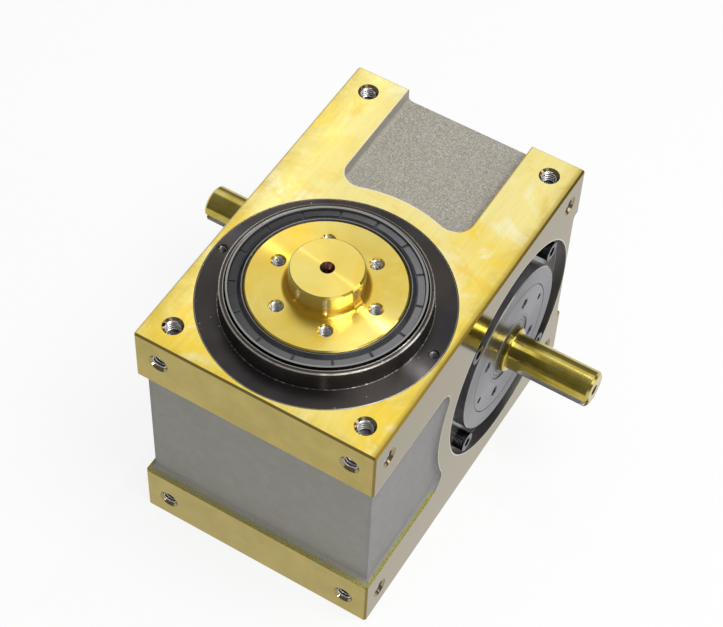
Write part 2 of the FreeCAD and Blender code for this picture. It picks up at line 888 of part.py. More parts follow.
def make_sleeve(side):
    """Flanged sleeve that carries an input bearing in the side of the housing."""
    bore = input_race_radius + seat_clearance
    thread_bore = adjuster_radius + thread_clearance
    face = half_width
    flange_face = face - sleeve_recess
    nose_end = input_bearing_start - sleeve_nose_overhang
    profile = [
        (bore, nose_end),
        (sleeve_nose_radius, nose_end),
        (sleeve_nose_radius, race_face - sleeve_spigot_length),
        (sleeve_spigot_radius, race_face - sleeve_spigot_length),
        (sleeve_spigot_radius, race_face),
        (sleeve_radius - thread_clearance, race_face),
        (sleeve_radius - thread_clearance, flange_face),
        (sleeve_disc_radius, flange_face),
        (sleeve_disc_radius, face - sleeve_edge_chamfer),
        (sleeve_disc_radius - sleeve_edge_chamfer, face),
        (thread_bore, face),
        (thread_bore, adjuster_floor),
        (bore, adjuster_floor),
    ]
    sleeve = turned(profile)
    for place in sleeve_screw_places():
        hole_radius = sleeve_screw_radius + screw_hole_clearance
        hole = cylinder(hole_radius, race_face - overshoot, flange_face + overshoot, place)
        sleeve = sleeve.cut(hole)
    return input_side(sleeve, side)


def make_sleeve_screws(side):
    screws = []
    seat = half_width - sleeve_recess
    for place in sleeve_screw_places():
        screw = socket_screw(
            sleeve_screw_head_radius, sleeve_screw_head_height, sleeve_screw_radius,
            sleeve_flange_thickness + sleeve_screw_reach, sleeve_screw_socket,
        )
        screws.append(placed(screw, place + Z * seat, Z))
    return input_side(Part.makeCompound(screws), side)


def make_adjuster(side):
    """Threaded ring in the sleeve that sets the bearing and holds the input seal."""
    face = half_width
    seal_bore = input_seal_radius + seat_clearance
    nose_bore = input_race_radius - adjuster_nose_wall
    shaft_bore = journal_radius + adjuster_shaft_gap
    profile = [
        (nose_bore, input_bearing_end),
        (input_race_radius, input_bearing_end),
        (input_race_radius, adjuster_floor),
        (adjuster_radius, adjuster_floor),
        (adjuster_radius, face - adjuster_edge_chamfer),
        (adjuster_radius - adjuster_edge_chamfer, face),
        (seal_bore, face),
        (seal_bore, face - input_seal_width),
        (shaft_bore, face - input_seal_width),
        (shaft_bore, adjuster_floor),
        (nose_bore, adjuster_floor),
    ]
    ring = turned(profile)
    for index in range(adjuster_hole_count):
        angle = adjuster_hole_angle + 360.0 * index / adjuster_hole_count
        ring = ring.cut(tapped_hole(
            adjuster_hole_radius, adjuster_hole_depth, adjuster_hole_chamfer,
            on_circle(adjuster_hole_circle, angle) + Z * face, Z,
        ))
    for angle in (adjuster_pin_angle, adjuster_pin_angle + 180):
        place = on_circle(adjuster_pin_circle, angle)
        bottom = face - adjuster_hole_depth
        ring = ring.cut(cylinder(adjuster_pin_radius, bottom, face + overshoot, place))
    return input_side(ring, side)


def make_input_seal(side):
    inner = journal_radius + seal_clearance
    seal = turned(seal_profile(
        input_seal_radius, inner, input_seal_width, input_seal_rim, input_seal_drop,
    ))
    return input_side(placed(seal, Z * (half_width - input_seal_width), Z), side)


def make_input_shaft():
    """Stepped through shaft with a keyway and a centre hole at each end."""
    seat_end = input_bearing_end + shaft_seat_run_out
    cone_depth = (shaft_centre_cone - shaft_centre_radius) * centre_cone_slope
    half = [
        (shaft_seat_radius, input_bearing_start),
        (input_bore_radius, input_bearing_start),
        (input_bore_radius, seat_end),
        (journal_radius, seat_end),
        (journal_radius, journal_end - journal_chamfer),
        (journal_radius - journal_chamfer, journal_end),
        (shaft_end_radius, journal_end),
        (shaft_end_radius, shaft_half_length - shaft_end_chamfer),
        (shaft_end_radius - shaft_end_chamfer, shaft_half_length),
        (shaft_centre_cone, shaft_half_length),
        (shaft_centre_radius, shaft_half_length - cone_depth),
        (shaft_centre_radius, shaft_half_length - shaft_centre_depth),
        (0, shaft_half_length - shaft_centre_depth),
    ]
    mirrored = [(radius, -height) for radius, height in reversed(half)]
    shaft = turned(mirrored + half)
    for end in (-1, 1):
        floor = shaft_end_radius - keyway_depth
        outside = shaft_end_radius + overshoot
        half_key = keyway_width / 2.0
        milled_end = keyway_start + half_key
        slot = block(floor, outside, -half_key, half_key, milled_end, shaft_half_length + overshoot)
        slot = slot.fuse(cylinder(half_key, floor, outside, Z * milled_end, X))
        if end < 0:
            slot = slot.mirror(ORIGIN, Z)
        slot.rotate(ORIGIN, Z, keyway_angle)
        shaft = shaft.cut(slot)
    shaft = shaft.cut(cam_key_block(0.0, seat_clearance))
    return placed(shaft, CAM_CENTRE, X)


def cam_key_block(top_clearance, side_clearance):
    """Key between shaft and cam, drawn about +Z, with room at its top and sides for a cutter."""
    floor = shaft_seat_radius - cam_key_depth
    half_width_cut = cam_key_width / 2.0 + side_clearance
    half_length = cam_key_length / 2.0 + side_clearance
    return block(
        floor, floor + cam_key_height + top_clearance,
        -half_width_cut, half_width_cut,
        -half_length, half_length,
    )


def cam_point(reach, turret_angle, offset, cam_angle):
    """Point of the turret plane, carried to where the cam meets it after turning by cam_angle.

    reach is the distance along a line from the output axis at turret_angle, offset the distance
    across it, both in the turret plane that holds the cam axis.
    """
    across = -reach * math.sin(turret_angle) - offset * math.cos(turret_angle)
    along = reach * math.cos(turret_angle) - offset * math.sin(turret_angle)
    radius = centre_distance - along
    return FreeCAD.Vector(
        across,
        centre_distance - radius * math.cos(cam_angle),
        input_height - radius * math.sin(cam_angle),
    )


def rib_offset(reach, turret_angle):
    """Half width of the groove that a follower sweeps, across its axis in the turret plane."""
    cam_radius = centre_distance - reach * math.cos(turret_angle)
    lead = reach / (follower_count * cam_radius)
    return follower_radius * math.sqrt(1 + lead * lead) + rib_flank_clearance


def make_rib():
    """Helical rib between two followers: a loft through its sections in the turret plane."""
    half_pitch = math.pi / follower_count
    limit = math.radians(rib_turret_angle)
    top = hub_radius + rib_top_gap
    root = cam_core_reach + rib_root_overlap
    corners = [(-1, top), (1, top), (1, root), (-1, root)]
    sections = []
    for step in range(-rib_steps, rib_steps + 1):
        centre = limit * step / rib_steps
        points = []
        for side, reach in corners:
            line = centre + side * half_pitch
            offset = -side * rib_offset(reach, line)
            points.append(cam_point(reach, line, offset, -centre * follower_count))
        sections.append(Part.makePolygon(points + points[:1]))
    return Part.makeLoft(sections, True, False)


def cam_core():
    """Waisted core whose outline follows the circle of the follower ends."""
    bore = shaft_seat_radius + cam_bore_clearance
    half = cam_half_length + rib_root_overlap
    edge_radius = centre_distance - math.sqrt(cam_core_reach ** 2 - half ** 2)
    corners = [(edge_radius, half), (bore, half), (bore, -half), (edge_radius, -half)]
    points = [FreeCAD.Vector(radius, 0, height) for radius, height in corners]
    edges = [Part.makeLine(start, end) for start, end in zip(points, points[1:])]
    throat = FreeCAD.Vector(centre_distance - cam_core_reach, 0, 0)
    edges.append(Part.Arc(points[-1], throat, points[0]).toShape())
    core = Part.Face(Part.Wire(edges)).revolve(ORIGIN, Z, 360)
    return placed(core, CAM_CENTRE, X)


def make_cam():
    """Roller-gear cam: the core with its rib, turned to size and faced, on a long hub."""
    bore = shaft_seat_radius + cam_bore_clearance
    envelope = cylinder(cam_outer_radius, -cam_half_length, cam_half_length, CAM_CENTRE, X)
    cam = cam_core().fuse(make_rib()).common(envelope)
    hub = tube(bore, cam_hub_radius, -input_bearing_start, input_bearing_start)
    cam = cam.fuse(placed(hub, CAM_CENTRE, X))
    keyway = placed(cam_key_block(seat_clearance, seat_clearance), CAM_CENTRE, X)
    return cam.cut(keyway)


def make_cam_key():
    return placed(cam_key_block(0.0, 0.0), CAM_CENTRE, X)


def make_socket_plug(port, radius):
    """Oil plug: a flanged head against the wall of the back recess, with a hexagon socket."""
    plug = turned([
        (0, -plug_shank_length),
        (radius, -plug_shank_length),
        (radius, 0),
        (plug_head_radius, 0),
        (plug_head_radius, plug_head_height - plug_edge_chamfer),
        (plug_head_radius - plug_edge_chamfer, plug_head_height),
        (0, plug_head_height),
    ])
    socket_floor = plug_head_height - plug_socket_depth
    plug = plug.cut(hexagon(plug_socket, socket_floor, plug_head_height + overshoot))
    return placed(plug, port, Y)


def make_glass_bezel(port):
    """Sight-glass fitting: hexagon collar and threaded shank round an open bore."""
    across_flats = glass_bezel_radius * math.sqrt(3.0)
    collar = hexagon(across_flats, 0, glass_bezel_height)
    collar = collar.common(turned([
        (0, 0),
        (glass_bezel_radius, 0),
        (glass_bezel_radius, glass_bezel_height - glass_bezel_chamfer),
        (glass_bezel_radius - glass_bezel_chamfer, glass_bezel_height),
        (0, glass_bezel_height),
    ]))
    shank = cylinder(glass_radius, -glass_shank_length, glass_bezel_chamfer)
    bezel = collar.fuse(shank).removeSplitter()
    outside = glass_bezel_height + overshoot
    bore = glass_window_radius - glass_seat_step
    bezel = bezel.cut(cylinder(bore, -glass_shank_length - overshoot, outside))
    bezel = bezel.cut(cylinder(glass_window_radius, window_seat(), outside))
    return placed(bezel, port, Y)


def window_seat():
    """Level of the step that the sight-glass window rests on."""
    return glass_bezel_height - glass_window_sink - glass_window_thickness


def make_glass_window(port):
    seat = window_seat()
    disc = cylinder(glass_window_radius - seat_clearance, seat, seat + glass_window_thickness)
    return placed(disc, port, Y)


def collect_nodes():
    """Every piece by name, in the place it holds at rest."""
    upper = (upper_race_radius, upper_bore_radius, upper_roller_radius)
    lower = (lower_race_radius, lower_bore_radius, lower_roller_radius)
    entry = (input_race_radius, input_bore_radius, input_roller_radius)
    upper_place = (upper_bearing_bottom, upper_bearing_top)
    lower_place = (lower_bearing_bottom, lower_bearing_top)
    input_place = (input_bearing_start, input_bearing_end)
    upper_nut_place = (upper_bearing_bottom - upper_nut_height, upper_bearing_bottom)
    lower_nut_place = (lower_bearing_bottom - lower_nut_height, lower_bearing_bottom)
    filler, drain, glass = [port[0] for port in oil_ports()]

    nodes = {
        "housing": make_housing(),
        "output_retainer_ring": make_retainer_ring(),
        "output_oil_seal": make_output_seal(),
        "output_turret": make_turret(),
        "follower_studs": make_studs(),
        "upper_bearing_outer_race": outer_race(*upper, *upper_place),
        "upper_bearing_inner_race": inner_race(*upper, *upper_place),
        "upper_bearing_rollers": roller_set(*upper, upper_roller_count, *upper_place),
        "upper_bearing_cage": cage(*upper, upper_roller_count, *upper_place),
        "lower_bearing_outer_race": outer_race(*lower, *lower_place),
        "lower_bearing_inner_race": inner_race(*lower, *lower_place),
        "lower_bearing_rollers": roller_set(*lower, lower_roller_count, *lower_place),
        "lower_bearing_cage": cage(*lower, lower_roller_count, *lower_place),
        "upper_locknut": slotted_nut(upper_bore_radius, upper_nut_radius, *upper_nut_place),
        "lower_locknut": slotted_nut(lower_bore_radius, lower_nut_radius, *lower_nut_place),
        "bottom_cover": make_bottom_cover(),
        "bottom_cover_screws": make_cover_screws(),
        "input_shaft": make_input_shaft(),
        "roller_gear_cam": make_cam(),
        "cam_key": make_cam_key(),
        "oil_filler_plug": make_socket_plug(filler, plug_radius),
        "oil_drain_plug": make_socket_plug(drain, plug_radius),
        "sight_glass_bezel": make_glass_bezel(glass),
        "sight_glass_window": make_glass_window(glass),
    }
    for index in range(follower_count):
        nodes["follower_roller_" + str(index + 1)] = make_follower(index)
    for name, side in (("right", 1), ("left", -1)):
        nodes[name + "_bearing_sleeve"] = make_sleeve(side)
        nodes[name + "_sleeve_screws"] = make_sleeve_screws(side)
        nodes[name + "_adjusting_ring"] = make_adjuster(side)
        nodes[name + "_input_seal"] = make_input_seal(side)
        pieces = {
            "outer_race": outer_race(*entry, *input_place),
            "inner_race": inner_race(*entry, *input_place),
            "rollers": roller_set(*entry, input_roller_count, *input_place),
            "cage": cage(*entry, input_roller_count, *input_place),
        }
        for piece, shape in pieces.items():
            nodes[name + "_bearing_" + piece] = input_side(shape, side)
    return nodes


def write_parts():
    os.makedirs("parts", exist_ok=True)
    for name, shape in collect_nodes().items():
        shape.exportStep("parts/" + name + ".step")


write_parts()
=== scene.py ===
import math

import bpy
from mathutils import Matrix, Vector


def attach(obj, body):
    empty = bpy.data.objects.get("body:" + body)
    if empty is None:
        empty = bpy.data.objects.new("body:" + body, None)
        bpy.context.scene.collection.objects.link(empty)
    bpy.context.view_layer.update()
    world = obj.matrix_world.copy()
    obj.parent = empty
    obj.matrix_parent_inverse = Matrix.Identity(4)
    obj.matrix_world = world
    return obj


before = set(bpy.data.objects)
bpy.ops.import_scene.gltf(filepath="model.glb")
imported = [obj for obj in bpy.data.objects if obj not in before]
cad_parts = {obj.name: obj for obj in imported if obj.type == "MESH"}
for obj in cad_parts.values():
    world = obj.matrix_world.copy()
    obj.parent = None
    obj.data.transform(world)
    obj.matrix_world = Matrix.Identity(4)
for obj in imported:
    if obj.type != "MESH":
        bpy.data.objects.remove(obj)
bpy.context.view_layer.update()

# Dressed model of a roller-gear cam indexer. Metres, in the frame of the CAD model: the output
# axis is Z through the origin, and the input shaft runs along X at INPUT_Y and INPUT_Z.
MM = 0.001
INPUT_Y = 60 * MM
INPUT_Z = 61 * MM
SIDE_FACE = 54 * MM
FRONT_FACE = -53 * MM
BACK_FACE = 114 * MM
TOP_FACE = 122 * MM
MIDDLE_Y = (FRONT_FACE + BACK_FACE) / 2
END_REACH = BACK_FACE - MIDDLE_Y
HALF_HEIGHT = TOP_FACE / 2

# Housing: places of tapped holes, and how much further in those of the hidden faces sit
HOLE_X = 43 * MM
HOLE_Y = (-42 * MM, 103 * MM)
HOLE_Z = (12 * MM, 110 * MM)
HOLE_INSET = 1 * MM
# Mean reach of both sets from the middle planes, and the radius that covers the mouths of both
MEAN_HOLE_X = 42.5 * MM
MEAN_HOLE_Y = 72 * MM
MEAN_HOLE_Z = 48.5 * MM
MOUTH_RADIUS = 5.4 * MM
# Housing: cast pockets between straight sides and an arc, side bores, and the ledge at the ends
POCKET_ARC = 59.35 * MM
POCKET_CORNER = 8 * MM
TOP_POCKET_HALF = 29.5 * MM
TOP_POCKET_START = 20 * MM
SIDE_POCKET_HALF = 35 * MM
SIDE_POCKET_END = 40 * MM
SIDE_BORE = 49.9 * MM
SIDE_BORE_START = 40 * MM
BORE_MOUTH = (49.6 * MM, 50.25 * MM)
LEDGE = (25 * MM, 26.6 * MM)
LEDGE_FROM_END = (80.0 * MM, 82.6 * MM)
LEDGE_FROM_SIDE = (51.7 * MM, 53.2 * MM)

# Retainer ring: outer rim, then the collar's shoulder, mouth and foot
RIM_RADIUS = 50.9 * MM
RIM_LEVEL = 121.5 * MM
SHOULDER_RADIUS = 41.15 * MM
SHOULDER_LEVEL = 130.45 * MM
COLLAR_MOUTH = (39.7 * MM, 40.1 * MM)
COLLAR_LEVEL = 130.5 * MM
COLLAR_FOOT = (42.15 * MM, 42.42 * MM)
COLLAR_FOOT_LEVEL = 122.1 * MM

# Oil seals: steel case, raised band, lip, and the moulded rings of the input seals
CASE_RADIUS = 38.05 * MM
RAISED_BAND = (35.0 * MM, 37.9 * MM)
RAISED_LEVEL = 130.9 * MM
LIP = (32.7 * MM, 33.0 * MM)
INPUT_CASE_RADIUS = 15.0 * MM
MOULDED_RINGS = (10.7, 12.2, 13.7)
MOULDED_RING_HALF = 0.22 * MM

# Output flange: top of the boss, its wall, its root fillet, and the centre hole
BOSS_LEVEL = 142.2 * MM
BOSS_WALL = (134.8 * MM, 141.6 * MM)
BOSS_WALL_RADIUS = 14 * MM
BOSS_FOOT = (15.1 * MM, 17.75 * MM)
FLANGE_LEVEL = 131 * MM
CENTRE_HOLE_RADIUS = 2.95 * MM
CENTRE_HOLE_LEVEL = 130 * MM

# Input shaft: keyway floor and ends, and the centre drilling
KEYWAY_RADIUS = 7.93 * MM
KEYWAY = (61 * MM, 92.9 * MM)
CENTRE_DRILL_RADIUS = 2.45 * MM
CENTRE_DRILL_START = 88 * MM

# Sleeve flange and adjusting ring
DISC_RADIUS = 37.6 * MM
DISC_LEVEL = 53.9 * MM
DISC_EDGE = (37.35 * MM, 37.9 * MM)
DISC_EDGE_LEVEL = 53.5 * MM
FINE_GAP_RADIUS = 30.05 * MM
SLEEVE_EDGE_RADIUS = 49.3 * MM
SLEEVE_EDGE_LEVEL = 48.7 * MM
ADJUSTER_OUTSIDE = 29.5 * MM
ADJUSTER_INSIDE = 16.35 * MM
ADJUSTER_LEVEL = 53.6 * MM
ADJUSTER_HOLES = 4
ADJUSTER_HOLES_RADIUS = 22 * MM
ADJUSTER_FIRST_HOLE = 64.0

# Circles of holes about the output axis: radius, count and level of the mouths
FLANGE_HOLES = (22 * MM, 6, 132 * MM)
SPANNER_HOLES = (48 * MM, 2, TOP_FACE)

# Threads: radius of the plain bore, chamfer, depth and pitch
HOUSING_THREAD = (3.4 * MM, 1.0 * MM, 7.0 * MM, 1.25 * MM)
FLANGE_THREAD = (2.5 * MM, 0.6 * MM, 12.0 * MM, 1.0 * MM)
SPANNER_THREAD = (1.7 * MM, 0.5 * MM, 5.0 * MM, 0.7 * MM)
ADJUSTER_THREAD = (2.1 * MM, 0.5 * MM, 5.5 * MM, 0.8 * MM)
THREAD_SIDES = 36
THREAD_HEIGHT = 0.36
THREAD_SKIN = 0.03 * MM
THREAD_END_GAP = 0.2 * MM
DRILL_POINT = 0.4
DRILL_POINT_DROP = 0.1 * MM
THREAD_SHARP_ANGLE = 25.0

# Colours, linear
FILM_PALE = (0.86, 0.75, 0.29)
FILM_GOLD = (0.88, 0.65, 0.085)
FILM_AMBER = (0.84, 0.53, 0.05)
FILM_OCHRE = (0.58, 0.42, 0.07)
FILM_OLIVE = (0.37, 0.29, 0.075)
FILM_OLIVE_PALE = (0.44, 0.35, 0.10)
FILM_SIDE = (0.232, 0.190, 0.098)
FILM_SIDE_LOW = (0.245, 0.200, 0.088)
FILM_STREAK = (0.30, 0.24, 0.06)
# Painted dark reflection on the right-hand border and edge of the top face
FILM_PAINTED_DARK_REFLECTION = (0.24, 0.16, 0.025)
FILM_WORN = (0.52, 0.40, 0.12)
FILM_WHITE = (0.90, 0.84, 0.52)
FILM_SUNK = (0.34, 0.26, 0.14)
BORED_IRON = (0.34, 0.33, 0.31)
# Top pocket rim: pale worn film with a painted highlight, and painted shade on its right-hand stretch
TOP_RIM_WORN_AND_HIGHLIGHT = (0.80, 0.72, 0.58)
TOP_RIM_PAINTED_SHADE = (0.36, 0.26, 0.08)
SIDE_RIM = (0.50, 0.48, 0.36)
# Cast skin: the top pocket's tone is warmer and painted lighter as light from above; the side pockets' tone
# is bluer and painted darker as shade
CAST_WARM_PAINTED_LIGHT = (0.385, 0.357, 0.298)
CAST_GREY = (0.282, 0.274, 0.240)
CAST_SIDE_PAINTED_SHADE = (0.262, 0.258, 0.258)
CAST_DARK = (0.20, 0.19, 0.165)
CAST_PALE = (0.62, 0.60, 0.54)
CAST_LUMP = (0.46, 0.45, 0.41)
CAST_STAINED = (0.44, 0.39, 0.07)
CAST_STAINED_DARK = (0.20, 0.18, 0.04)
BLACK_OXIDE = (0.040, 0.037, 0.040)
OXIDE_WARM = (0.062, 0.052, 0.046)
OXIDE_PALE = (0.075, 0.070, 0.080)
DUST = (0.5, 0.5, 0.5)
BRIGHT_EDGE = (0.62, 0.60, 0.52)
GROUND_FACE = (0.120, 0.120, 0.138)
GROUND_LIGHT = (0.150, 0.150, 0.170)
SLEEVE_BLACK = (0.07, 0.068, 0.073)
SLEEVE_GREY = (0.13, 0.127, 0.135)
FINE_GAP = (0.03, 0.03, 0.035)
ADJUSTER_LINE = (0.04, 0.04, 0.045)
# Painted shade in the holes of the adjusting ring
ADJUSTER_HOLE_PAINTED_SHADE = (0.05, 0.05, 0.055)
OUTPUT_GOLD = (0.82, 0.57, 0.075)
OUTPUT_PALE = (0.86, 0.70, 0.20)
# Boss wall: a paler copy of the gold, as painted light
OUTPUT_WALL_PAINTED_LIGHT = (0.85, 0.76, 0.40)
OUTPUT_FOOT = (0.78, 0.42, 0.03)
OUTPUT_CENTRE = (0.22, 0.13, 0.10)
SHAFT_GOLD = (0.40, 0.315, 0.045)
SHAFT_PALE = (0.60, 0.49, 0.14)
SHAFT_KEYWAY = (0.70, 0.69, 0.70)
SHAFT_CENTRE = (0.12, 0.08, 0.05)
RUBBER = (0.012, 0.012, 0.014)
# Painted reflection on the raised band of the output seal
RUBBER_PAINTED_SHEEN = (0.135, 0.133, 0.138)
RUBBER_WORN = (0.03, 0.03, 0.034)
RUBBER_DUSTY = (0.05, 0.05, 0.055)
RUBBER_LIP = (0.30, 0.30, 0.31)
RUBBER_RING = (0.34, 0.34, 0.38)
OUTPUT_CASE = (0.26, 0.26, 0.255)
INPUT_CASE = (0.17, 0.17, 0.18)
GLASS_CLEAR = (0.86, 0.90, 0.86)
GLASS_OILY = (0.78, 0.82, 0.70)

# Plain metals: dark tone, light tone, and the range of roughness
PLAIN_METALS = {
    "black_screws": ((0.035, 0.035, 0.04), (0.09, 0.09, 0.10), 0.22, 0.36),
    "black_cover": ((0.04, 0.04, 0.045), (0.10, 0.10, 0.11), 0.22, 0.4),
    "hardened_steel": ((0.57, 0.57, 0.59), (0.68, 0.68, 0.70), 0.12, 0.22),
    "machined_brass": ((0.50, 0.34, 0.10), (0.66, 0.48, 0.18), 0.2, 0.36),
    "ground_cam": ((0.42, 0.42, 0.44), (0.55, 0.55, 0.56), 0.18, 0.30),
    "turned_nuts": ((0.20, 0.20, 0.22), (0.38, 0.38, 0.40), 0.25, 0.4),
}

# Threads: tones of the root, painted dark as shade, and of the crest, painted bright as a highlight
PLAIN_THREAD = ((0.16, 0.15, 0.14), (0.95, 0.94, 0.93))
DARK_THREAD = ((0.03, 0.03, 0.033), (0.42, 0.42, 0.43))

# Strength of the surroundings: the diffuse light, and what the glossy surfaces mirror
AMBIENT = 0.45
BACKDROP = 1.0
STUDIO_DIM = 0.22
STUDIO_BRIGHT = 1.05
STUDIO_ARCH = 0.90
STUDIO_TOWARD = Vector((-0.301, 0.550, 0.778)).normalized()
ARCH_ACROSS = (-0.692, -0.692, 0.208)

FLOOR_REACH = 3.0
FLOOR_LEVEL = -0.05 * MM
FLOOR_GREY = (0.86, 0.86, 0.86)
FLOOR_WHITENESS = 0.86

# Area lights: place, aim, width, height and power
MIDDLE = (0, 0.03, 0.06)
LIGHTS = {
    "key_softbox": ((0.42, 0.02, 1.05), MIDDLE, 0.50, 0.50, 7.0),
    "side_pin": ((0.06, 0.46, 1.01), MIDDLE, 0.014, 0.014, 1.0),
    "front_pin": ((0.40, -0.69, 0.13), MIDDLE, 0.02, 0.02, 0.8),
    "right_softbox": ((0.85, 0.35, 0.40), MIDDLE, 0.40, 0.30, 0.8),
    "edge_strip": ((-0.353, 0.56, 0.80), (0.0, 0.56, 0.30), 0.40, 0.008, 0.012),
}

CAMERA_AZIMUTH = math.radians(28.789)
CAMERA_ELEVATION = math.radians(52.935)
CAMERA_ROLL = math.radians(2.958)
CAMERA_PLACE = (0.246214, -0.419413, 0.758383)
CAMERA_SENSOR = 36.0
CAMERA_LENS = 103.09
CAMERA_CLIP_START = 0.01


class Nodes:
    """Short calls for the nodes of a material or world, whose tree starts empty."""

    def __init__(self, owner):
        owner.use_nodes = True
        self.nodes = owner.node_tree.nodes
        self.links = owner.node_tree.links
        self.nodes.clear()

    def add(self, kind, operation=None):
        node = self.nodes.new("ShaderNode" + kind)
        if operation:
            node.operation = operation
        return node

    def put(self, socket, value):
        """Link a socket, or set its own value."""
        if isinstance(value, bpy.types.NodeSocket):
            self.links.new(value, socket)
        elif socket.type == "RGBA":
            socket.default_value = (*value, 1.0)
        else:
            socket.default_value = value

    def math(self, operation, *values):
        node = self.add("Math", operation)
        for socket, value in zip(node.inputs, values):
            self.put(socket, value)
        return node.outputs[0]

    def span(self, value, low, high, to_low=0.0, to_high=1.0, curve="LINEAR"):
        """Carry a value from one range to another, held at the ends."""
        node = self.add("MapRange")
        node.interpolation_type = curve
        for socket, entry in zip(node.inputs, (value, low, high, to_low, to_high)):
            self.put(socket, entry)
        return node.outputs[0]

    def dot(self, value, direction):
        node = self.add("VectorMath", "DOT_PRODUCT")
        self.put(node.inputs[0], value)
        self.put(node.inputs[1], direction)
        return node.outputs["Value"]

    def blend(self, factor, first, second):
        """Blend two numbers."""
        node = self.add("Mix")
        self.put(node.inputs[0], factor)
        self.put(node.inputs[2], first)
        self.put(node.inputs[3], second)
        return node.outputs[0]


class Shader(Nodes):
    """One Principled material, with masks that follow the shape of the part."""

    def __init__(self, name, **sockets):
        self.material = bpy.data.materials.new(name)
        super().__init__(self.material)
        output = self.add("OutputMaterial")
        self.surface = self.add("BsdfPrincipled")
        self.put(output.inputs["Surface"], self.surface.outputs[0])
        self.place = self.add("TexCoord").outputs["Object"]
        split = self.add("SeparateXYZ")
        self.put(split.inputs[0], self.place)
        self.x, self.y, self.z = split.outputs
        for socket, value in sockets.items():
            self.put(self.surface.inputs[socket.replace("_", " ")], value)

    def above(self, value, edge, soft=0.02 * MM):
        return self.span(value, edge - soft, edge + soft)

    def below(self, value, edge, soft=0.02 * MM):
        return self.span(value, edge - soft, edge + soft, 1.0, 0.0)

    def band(self, value, edges, soft=0.02 * MM):
        return self.both(self.above(value, edges[0], soft), self.below(value, edges[1], soft))

    def both(self, *masks):
        result = masks[0]
        for mask in masks[1:]:
            result = self.math("MULTIPLY", result, mask)
        return result

    def any(self, *masks):
        result = masks[0]
        for mask in masks[1:]:
            result = self.math("MAXIMUM", result, mask)
        return result

    def mix(self, factor, first, second):
        """Blend two colours."""
        node = self.add("Mix")
        node.data_type = "RGBA"
        self.put(node.inputs[0], factor)
        self.put(node.inputs[6], first)
        self.put(node.inputs[7], second)
        return node.outputs[2]

    def noise(self, scale, detail, roughness=0.5, distortion=0.0, stretch=None):
        """Cloudy noise; stretch gives the scale along each axis by itself."""
        node = self.add("TexNoise")
        place = self.place
        if stretch:
            stretched = self.add("VectorMath", "MULTIPLY")
            self.put(stretched.inputs[0], place)
            self.put(stretched.inputs[1], stretch)
            place = stretched.outputs[0]
        self.put(node.inputs["Vector"], place)
        self.put(node.inputs["Scale"], scale)
        self.put(node.inputs["Detail"], detail)
        self.put(node.inputs["Roughness"], roughness)
        self.put(node.inputs["Distortion"], distortion)
        return node.outputs[0]

    def rings(self, radius, scale):
        """Noise that changes only with the distance from an axis, as a lathe leaves it."""
        node = self.add("TexNoise")
        node.noise_dimensions = "1D"
        self.put(node.inputs["W"], radius)
        self.put(node.inputs["Scale"], scale)
        self.put(node.inputs["Detail"], 3.0)
        return node.outputs[0]

    def cells(self, scale):
        node = self.add("TexVoronoi")
        self.put(node.inputs["Vector"], self.place)
        self.put(node.inputs["Scale"], scale)
        return node.outputs["Distance"]

    def length(self, first, second):
        squares = [self.math("MULTIPLY", value, value) for value in (first, second)]
        return self.math("SQRT", self.math("ADD", *squares))

    def output_radius(self):
        return self.length(self.x, self.y)

    def input_radius(self):
        along = self.math("SUBTRACT", self.y, INPUT_Y)
        up = self.math("SUBTRACT", self.z, INPUT_Z)
        return self.length(along, up)

    def reach(self, value, centre=0.0):
        """Distance from a middle plane."""
        return self.math("ABSOLUTE", self.math("SUBTRACT", value, centre))

    def hole_mouth(self, first, first_place, second, second_place, depth, face):
        """Mask of the countersinks round mirrored fixing holes, just below a face."""
        one = self.math("SUBTRACT", first, first_place)
        two = self.math("SUBTRACT", second, second_place)
        inside = self.below(self.length(one, two), MOUTH_RADIUS, 0.05 * MM)
        return self.both(inside, self.band(depth, (face - 1.1 * MM, face - 0.06 * MM)))

    def pocket(self, across, half_width, onward, radius):
        """Distance outside a pocket between two straight sides and a concave arc, with round corners."""
        middle_across = half_width - POCKET_CORNER
        middle_onward = math.sqrt((POCKET_ARC + POCKET_CORNER) ** 2 - middle_across ** 2)
        aside = self.math("SUBTRACT", across, middle_across)
        ahead = self.math("SUBTRACT", onward, middle_onward)
        rounded = self.math("SUBTRACT", self.length(aside, ahead), POCKET_CORNER)
        past_side = self.math("SUBTRACT", across, half_width)
        past_arc = self.math("SUBTRACT", POCKET_ARC, radius)
        plain = self.math("MAXIMUM", past_side, past_arc)
        turn = self.math(
            "SUBTRACT",
            self.math("MULTIPLY", aside, middle_onward),
            self.math("MULTIPLY", ahead, middle_across),
        )
        past_turn = self.math("GREATER_THAN", turn, 0.0)
        behind = self.math("LESS_THAN", ahead, 0.0)
        return self.blend(self.both(past_turn, behind), plain, rounded)

    def rim_line(self, distance):
        return self.both(
            self.above(distance, -0.3 * MM, 0.1 * MM),
            self.below(distance, 0.45 * MM, 0.15 * MM),
        )

    def colour(self, value):
        self.put(self.surface.inputs["Base Color"], value)

    def metallic(self, value):
        self.put(self.surface.inputs["Metallic"], value)

    def rough(self, value):
        self.put(self.surface.inputs["Roughness"], value)

    def bump(self, height, depth, normal=None):
        """Surface relief of the given depth; returns the normal so that reliefs can be stacked."""
        node = self.add("Bump")
        self.put(node.inputs["Distance"], depth)
        self.put(node.inputs["Height"], height)
        if normal:
            self.put(node.inputs["Normal"], normal)
        self.put(self.surface.inputs["Normal"], node.outputs[0])
        return node.outputs[0]

    def turned(self, axis, spread):
        """Reflections spread across the turning marks that run round an axis."""
        self.put(self.surface.inputs["Anisotropic"], spread)
        self.put(self.surface.inputs["Anisotropic Rotation"], 0.25)
        node = self.add("Tangent")
        node.direction_type = "RADIAL"
        node.axis = axis
        self.put(self.surface.inputs["Tangent"], node.outputs[0])


